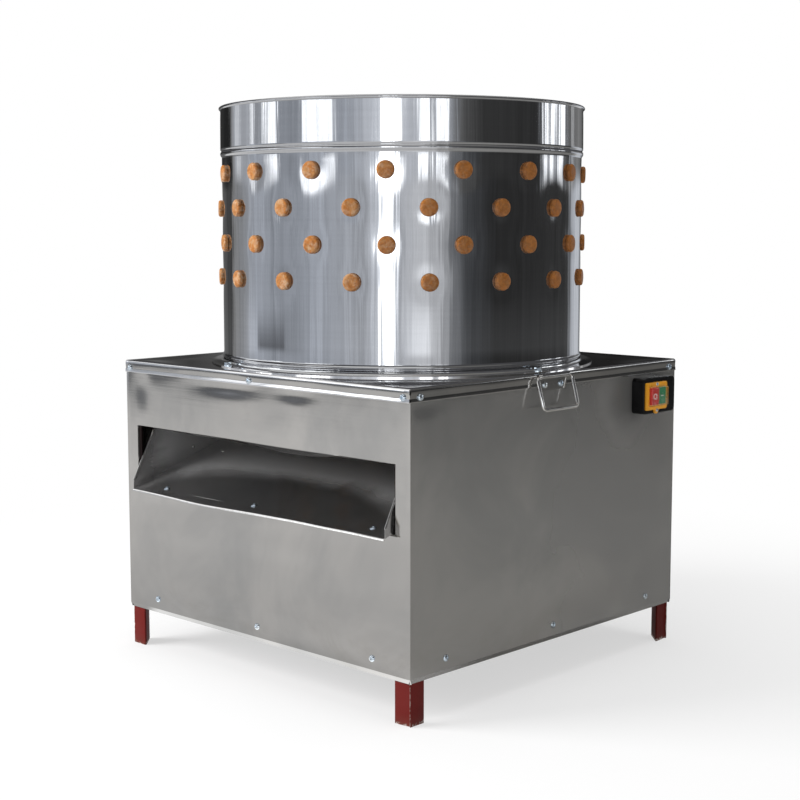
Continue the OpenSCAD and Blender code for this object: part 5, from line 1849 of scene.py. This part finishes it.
@dataclass
class Studio:
    """Camera, lights, pale floor, and the cards and flags that the steel reflects. Lengths are metres.

    A card is given by its direction in degrees, its level and how blue it is. A lamp or a spot on the ring of cards
    is given by its direction, its width in degrees and its level.
    """

    eye: Triple = (1.77643, -1.86789, 0.72418)
    ahead: Triple = (-0.68497, 0.72023, -0.10992)
    lens: float = 68.39
    film: float = 36.0
    shift: Point = (-0.0022, -0.0141)
    aim: Triple = (0.0, 0.0, 0.45)
    lamps: Sequence[tuple[str, Triple, float, float]] = (
        ("key", (-2.3, -3.0, 2.2), 2.4, 230.0),
        ("fill", (3.2, 0.6, 2.0), 2.4, 9.0),
        ("over", (0.2, 0.2, 4.2), 3.0, 80.0),
    )
    plain: float = 0.26
    floor_size: float = 60.0
    floor_grey: Colour = (0.86, 0.86, 0.86)
    shadow_share: float = 0.4
    tent_r: float = 6.0
    tent_h: float = 4.5
    tent_sides: int = 96
    floor_rings: Sequence[float] = (0.0, 500.0, 1500.0, 3000.0)
    floor_z: float = 4.0
    roof_tone: Colour = (0.09, 0.09, 0.095)
    sky_tone: Colour = (1.2, 1.22, 1.25)
    beam_tone: Colour = (0.05, 0.052, 0.06)
    lamp_tone: Colour = (0.97, 0.985, 1.0)
    low_cards: Sequence[Triple] = (
        (-177, 0.26, 0.0), (-158, 0.42, 0.1), (-150, 0.57, 0.15), (-133, 0.43, 0.15), (-120, 0.43, 0.15),
        (-100, 0.55, 0.15), (-70, 0.53, 0.1), (-60, 0.85, 0.1), (-50, 0.85, 0.1), (-46, 0.62, 0.08),
        (-34, 0.78, 0.05), (-23, 0.58, 0.05), (-15, 0.22, 0.08), (-4, 0.075, 0.1), (12, 0.033, 0.0),
        (82, 0.05, 0.0), (88, 0.55, 0.1), (104, 0.7, 0.1), (111, 0.3, 0.1),
    )
    high_cards: Sequence[Triple] = (
        (-180, 0.26, 0.0), (-172, 0.5, 0.1), (-150, 0.55, 0.1), (-144, 0.4, 0.1), (-130, 0.48, 0.15),
        (-117, 0.36, 0.15), (-108, 0.5, 0.15), (-78, 0.5, 0.15), (-62, 0.85, 0.1), (-42, 0.7, 0.1),
        (-19, 0.5, 0.1), (-11, 0.14, 0.0), (2, 0.05, 0.0), (44, 0.04, 0.0), (50, 0.45, 0.1),
        (74, 0.45, 0.1), (78, 0.14, 0.0), (100, 0.25, 0.0), (115, 0.05, 0.0),
    )
    dark_side: Sequence[Triple] = (
        (119, 0.05, 0.0), (134, 0.04, 0.0), (142, 0.2, 0.0), (156, 0.13, 0.0), (172, 0.07, 0.0),
    )
    low_lamps: Sequence[Triple] = ((-55.0, 3.6, 2.2),)
    low_spots: Sequence[Triple] = ((-35.0, 8.0, 0.55), (-118.0, 8.0, -0.2), (-153.0, 7.0, 0.3))
    high_lamps: Sequence[Triple] = (
        (-168.0, 2.0, 0.35), (-150.0, 1.5, 0.9), (-137.5, 2.2, 0.5), (-131.0, 4.6, 1.4), (-97.5, 10.5, 1.3),
        (-52.5, 6.7, 1.8), (-33.0, 3.6, 1.5), (-23.3, 2.7, 1.3), (51.5, 2.0, 1.3), (59.0, 2.8, 1.4),
        (70.5, 3.4, 1.3), (86.0, 2.0, 0.3),
    )
    front_floor: Sequence[Point] = (
        (0.0, 0.4), (0.07, 0.4), (0.09, 0.62), (0.2, 0.68), (0.45, 0.77), (0.71, 0.74), (0.78, 0.45), (1.0, 0.3),
    )
    right_floor: Sequence[Point] = (
        (0.0, 0.1), (0.066, 0.12), (0.08, 0.33), (0.25, 0.31), (0.5, 0.2), (0.75, 0.15), (1.0, 0.06),
    )

    def camera(self) -> None:
        """Sets the camera of the photograph."""
        data = bpy.data.cameras.new("camera")
        data.lens, data.sensor_width = self.lens, self.film
        data.shift_x, data.shift_y = self.shift
        made = bpy.data.objects.new("camera", data)
        made.location = self.eye
        made.rotation_euler = Vector(self.ahead).to_track_quat("-Z", "Y").to_euler()
        bpy.context.scene.collection.objects.link(made)
        bpy.context.scene.camera = made

    def lamp(self, name: str, place: Triple, size: float, watts: float) -> None:
        """Adds one soft lamp aimed at the machine, not mirrored in the steel.

        Args:
            name: The lamp's name.
            place: Where it stands.
            size: The width of its face.
            watts: Its power.
        """
        data = bpy.data.lights.new(name, "AREA")
        data.size, data.energy = size, watts
        made = bpy.data.objects.new(name, data)
        made.location = place
        made.rotation_euler = (Vector(self.aim) - Vector(place)).to_track_quat("-Z", "Y").to_euler()
        made.visible_glossy = False
        bpy.context.scene.collection.objects.link(made)

    def world(self) -> None:
        """White for the camera, in metal and through glass, and a plain level of light for the rest."""
        world = bpy.data.worlds.new("studio")
        world.use_nodes = True
        bpy.context.scene.world = world
        r = Recipe(world.node_tree)
        rays = ("Is Camera Ray", "Is Glossy Ray", "Is Transmission Ray")
        camera, glossy, clear = (r.node("ShaderNodeLightPath", output=ray) for ray in rays)
        strength = self.plain + (camera + glossy + clear).least(1.0) * (1.0 - self.plain)
        sky = r.node("ShaderNodeBackground", inputs={"Color": (1.0, 1.0, 1.0), "Strength": strength})
        r.output(sky, "ShaderNodeOutputWorld")

    def prop(self, name: str, m: Mesher, finish: str) -> tuple[bpy.types.Object, Recipe]:
        """Puts a thing of the studio on the stage.

        Args:
            name: Its name.
            m: Its mesh, in millimetres.
            finish: The name of its material.

        Returns:
            The object and the tree of its material, still empty.
        """
        made = bpy.data.objects.new(name, m.turn(Matrix.Scale(MM, 4)).mesh(name))
        material = bpy.data.materials.new(finish)
        material.use_nodes = True
        made.data.materials.append(material)
        bpy.context.scene.collection.objects.link(made)
        return made, Recipe(material.node_tree)

    def floor(self) -> None:
        """A pale floor that keeps the machine's shadow and fades into the white."""
        size = self.floor_size / MM
        made, r = self.prop("floor", Mesher().grid(2, 2, size, size), "pale_floor")
        made.visible_glossy = False
        place = r.place()
        x, y = r.part(place, "X"), r.part(place, "Y")
        near = r.ease((x * x + y * y) ** 0.5, 1.5, 0.45)
        matte = r.node("ShaderNodeBsdfDiffuse", inputs={"Color": self.floor_grey})
        white = r.node("ShaderNodeEmission", inputs={"Color": (1.0, 1.0, 1.0), "Strength": 1.0})
        seen = r.node("ShaderNodeLightPath", output="Is Camera Ray")
        share = seen * (1.0 - near * self.shadow_share)
        r.output(r.node("ShaderNodeMixShader", inputs={0: share, 1: matte, 2: white}))

    def tent(self) -> None:
        """A ring of cards and flags that only reflections see."""
        radius, height = self.tent_r / MM, self.tent_h / MM
        profile = [(away, self.floor_z) for away in (*self.floor_rings, radius)]
        profile += [(radius, 300.0), (radius, height), (2500.0, height), (0.0, height)]
        made, r = self.prop("cards", Mesher().lathe(profile, self.tent_sides), "cards_and_flags")
        for ray in ("camera", "diffuse", "shadow", "transmission", "volume_scatter"):
            setattr(made, f"visible_{ray}", False)
        place = r.place()
        x, y, z = (r.part(place, axis) for axis in "XYZ")
        turn = y.heading(x) * (1 / (2 * math.pi)) + 0.5
        away = (x * x + y * y) ** 0.5
        walls = r.ease(away, self.tent_r * 0.72, self.tent_r * 0.86)
        around = r.blend(self.ground(r, place, turn, away), self.upright(r, turn, away, z), walls)
        beam = self.strip(r, turn, -134.0, 13.0) * r.ease(away, 4.2, 4.7) * r.ease(z, 0.3, 0.0) * 0.8
        base = r.blend(around, self.beam_tone, beam)
        front = y * -1.0
        sill = r.ease(front, 0.333, 0.345) * r.ease(front, 0.44, 0.4)
        sill = sill * r.ease(abs(x), 0.38, 0.34) * r.ease(z, 0.05, 0.02) * 0.9
        lit = r.node("ShaderNodeEmission", inputs={"Color": base, "Strength": 1.0})
        strength = self.lights(r, turn, away, z) + sill
        extra = r.node("ShaderNodeEmission", inputs={"Color": self.lamp_tone, "Strength": strength})
        r.output(r.node("ShaderNodeAddShader", inputs={0: lit, 1: extra}))

    def upright(self, r: Recipe, turn: Value, away: Value, z: Value) -> Value:
        """The standing cards and the roof.

        Args:
            r: The tree of the tent's material.
            turn: The direction, from 0 to 1 round the ring.
            away: The distance from the middle.
            z: The height.

        Returns:
            Their colour.
        """
        dark = r.ease(turn, self.at(112.0), self.at(117.0))
        shade = self.round_about(r, turn, self.dark_side)
        low = r.blend(self.round_about(r, turn, self.low_cards), shade, dark)
        high = r.blend(self.round_about(r, turn, self.high_cards), r.tinted(shade, (0.3, 0.3, 0.3)), dark)
        streaks = 0.1 + 1.8 * self.slats(r, turn, 80.0, 4.0, 0.65)
        for angle, width, change in self.low_spots:
            spot = r.ease(abs(turn - self.at(angle)) * 360.0, width * 1.8, 0.0) * r.ease(z, 0.45, 0.1)
            streaks = streaks * (1.0 + spot * change)
        wall = r.tinted(r.blend(low, high, r.ease(z, 0.88, 1.02)), self.as_grey(r, streaks))
        window = self.strip(r, turn, -132.0, 36.0) * r.ease(z, 3.3, 2.9)
        skylight = (r.ease(away, 2.6, 2.0) * r.ease(z, 3.0, 4.4) * 0.5).most(window)
        roof = r.blend(self.roof_tone, self.sky_tone, skylight)
        return r.blend(wall, roof, r.ease(z, 1.62, 1.78))

    def ground(self, r: Recipe, place: Value, turn: Value, away: Value) -> Value:
        """The floor of the tent, lighter before the machine than at its right.

        Args:
            r: The tree of the tent's material.
            place: The point.
            turn: Its direction, from 0 to 1 round the ring.
            away: Its distance from the middle.

        Returns:
            Its colour.
        """
        reach = away * (1 / self.tent_r)
        right = r.ramp(reach, *[(at, (level, level * 0.985, level * 0.95)) for at, level in self.right_floor])
        front = r.ramp(reach, *[(at, (level, level, level)) for at, level in self.front_floor])
        to_right = r.ease(turn, self.at(-32.0), self.at(-12.0)) * r.ease(turn, self.at(104.0), self.at(90.0))
        patches = 0.78 + 0.44 * r.clouds(place, 1.7, 4.0, 0.6, 0.8)
        return r.tinted(r.blend(front, right, to_right), self.as_grey(r, patches))

    def lights(self, r: Recipe, turn: Value, away: Value, z: Value) -> Value:
        """The lamps among the cards and a haze at their foot.

        Args:
            r: The tree of the tent's material.
            turn: The direction, from 0 to 1 round the ring.
            away: The distance from the middle.
            z: The height.

        Returns:
            Their strength.
        """
        low, high = (
            sum((self.strip(r, turn, angle, width) * level for angle, width, level in lamps), 0.0)
            for lamps in (self.low_lamps, self.high_lamps)
        )
        low = low * r.ease(away, 3.4, 4.8) * r.ease(z, 1.9, 1.6)
        bars = 0.45 + 1.1 * r.ease(self.slats(r, turn, 300.0, 1.0, 0.5), 0.35, 0.62)
        high = high * bars * r.ease(z, 0.86, 1.04) * r.ease(z, 1.72, 1.6)
        return low + high + r.ease(z, 0.45, 0.0) * r.ease(away, 4.4, 5.2) * 0.03

    def at(self, degrees: float) -> float:
        """The place of a direction on the ring of cards, from 0 to 1."""
        return (degrees + 180.0) / 360.0

    def as_grey(self, r: Recipe, value: Value) -> Value:
        """A number as a grey colour."""
        return r.node("ShaderNodeCombineColor", inputs={"Red": value, "Green": value, "Blue": value})

    def slats(self, r: Recipe, turn: Value, fine: float, detail: float, rough: float) -> Value:
        """Noise in upright stripes round the ring of cards."""
        return r.clouds(r.node("ShaderNodeCombineXYZ", inputs={"X": turn * fine}), 1.0, detail, rough)

    def round_about(self, r: Recipe, turn: Value, cards: Sequence[Triple]) -> Value:
        """The colour of a ring of cards.

        Args:
            r: The tree of the tent's material.
            turn: The direction, from 0 to 1 round the ring.
            cards: The cards, in order.

        Returns:
            The colour in that direction.
        """
        stops = []
        for angle, level, blue in cards:
            shares = (1 - 0.5 * blue, 1 - 0.1 * blue, 1 + 0.6 * blue)
            stops.append((self.at(angle), tuple(level * share for share in shares)))
        return r.ramp(turn, *stops)

    def strip(self, r: Recipe, turn: Value, angle: float, width: float) -> Value:
        """A lit strip on the ring of cards."""
        return r.ease(abs(turn - self.at(angle)) * 360.0, width * 1.2, width * 0.8)

    def build(self) -> None:
        """Sets up the whole studio."""
        bpy.context.scene.view_settings.view_transform = "Standard"
        self.camera()
        self.world()
        self.floor()
        self.tent()
        for row in self.lamps:
            self.lamp(*row)


def main() -> None:
    """Builds the machine's looks in order."""
    logging.basicConfig(level=logging.INFO, format="%(name)s: %(message)s")
    Studio().build()
    for assembly in (Tub(), Fingers(), Cover(), Panels(), Chute(), Legs(), Switch(), Handles(), Screws(), Carried()):
        assembly.build()


if __name__ == "__main__":
    main()
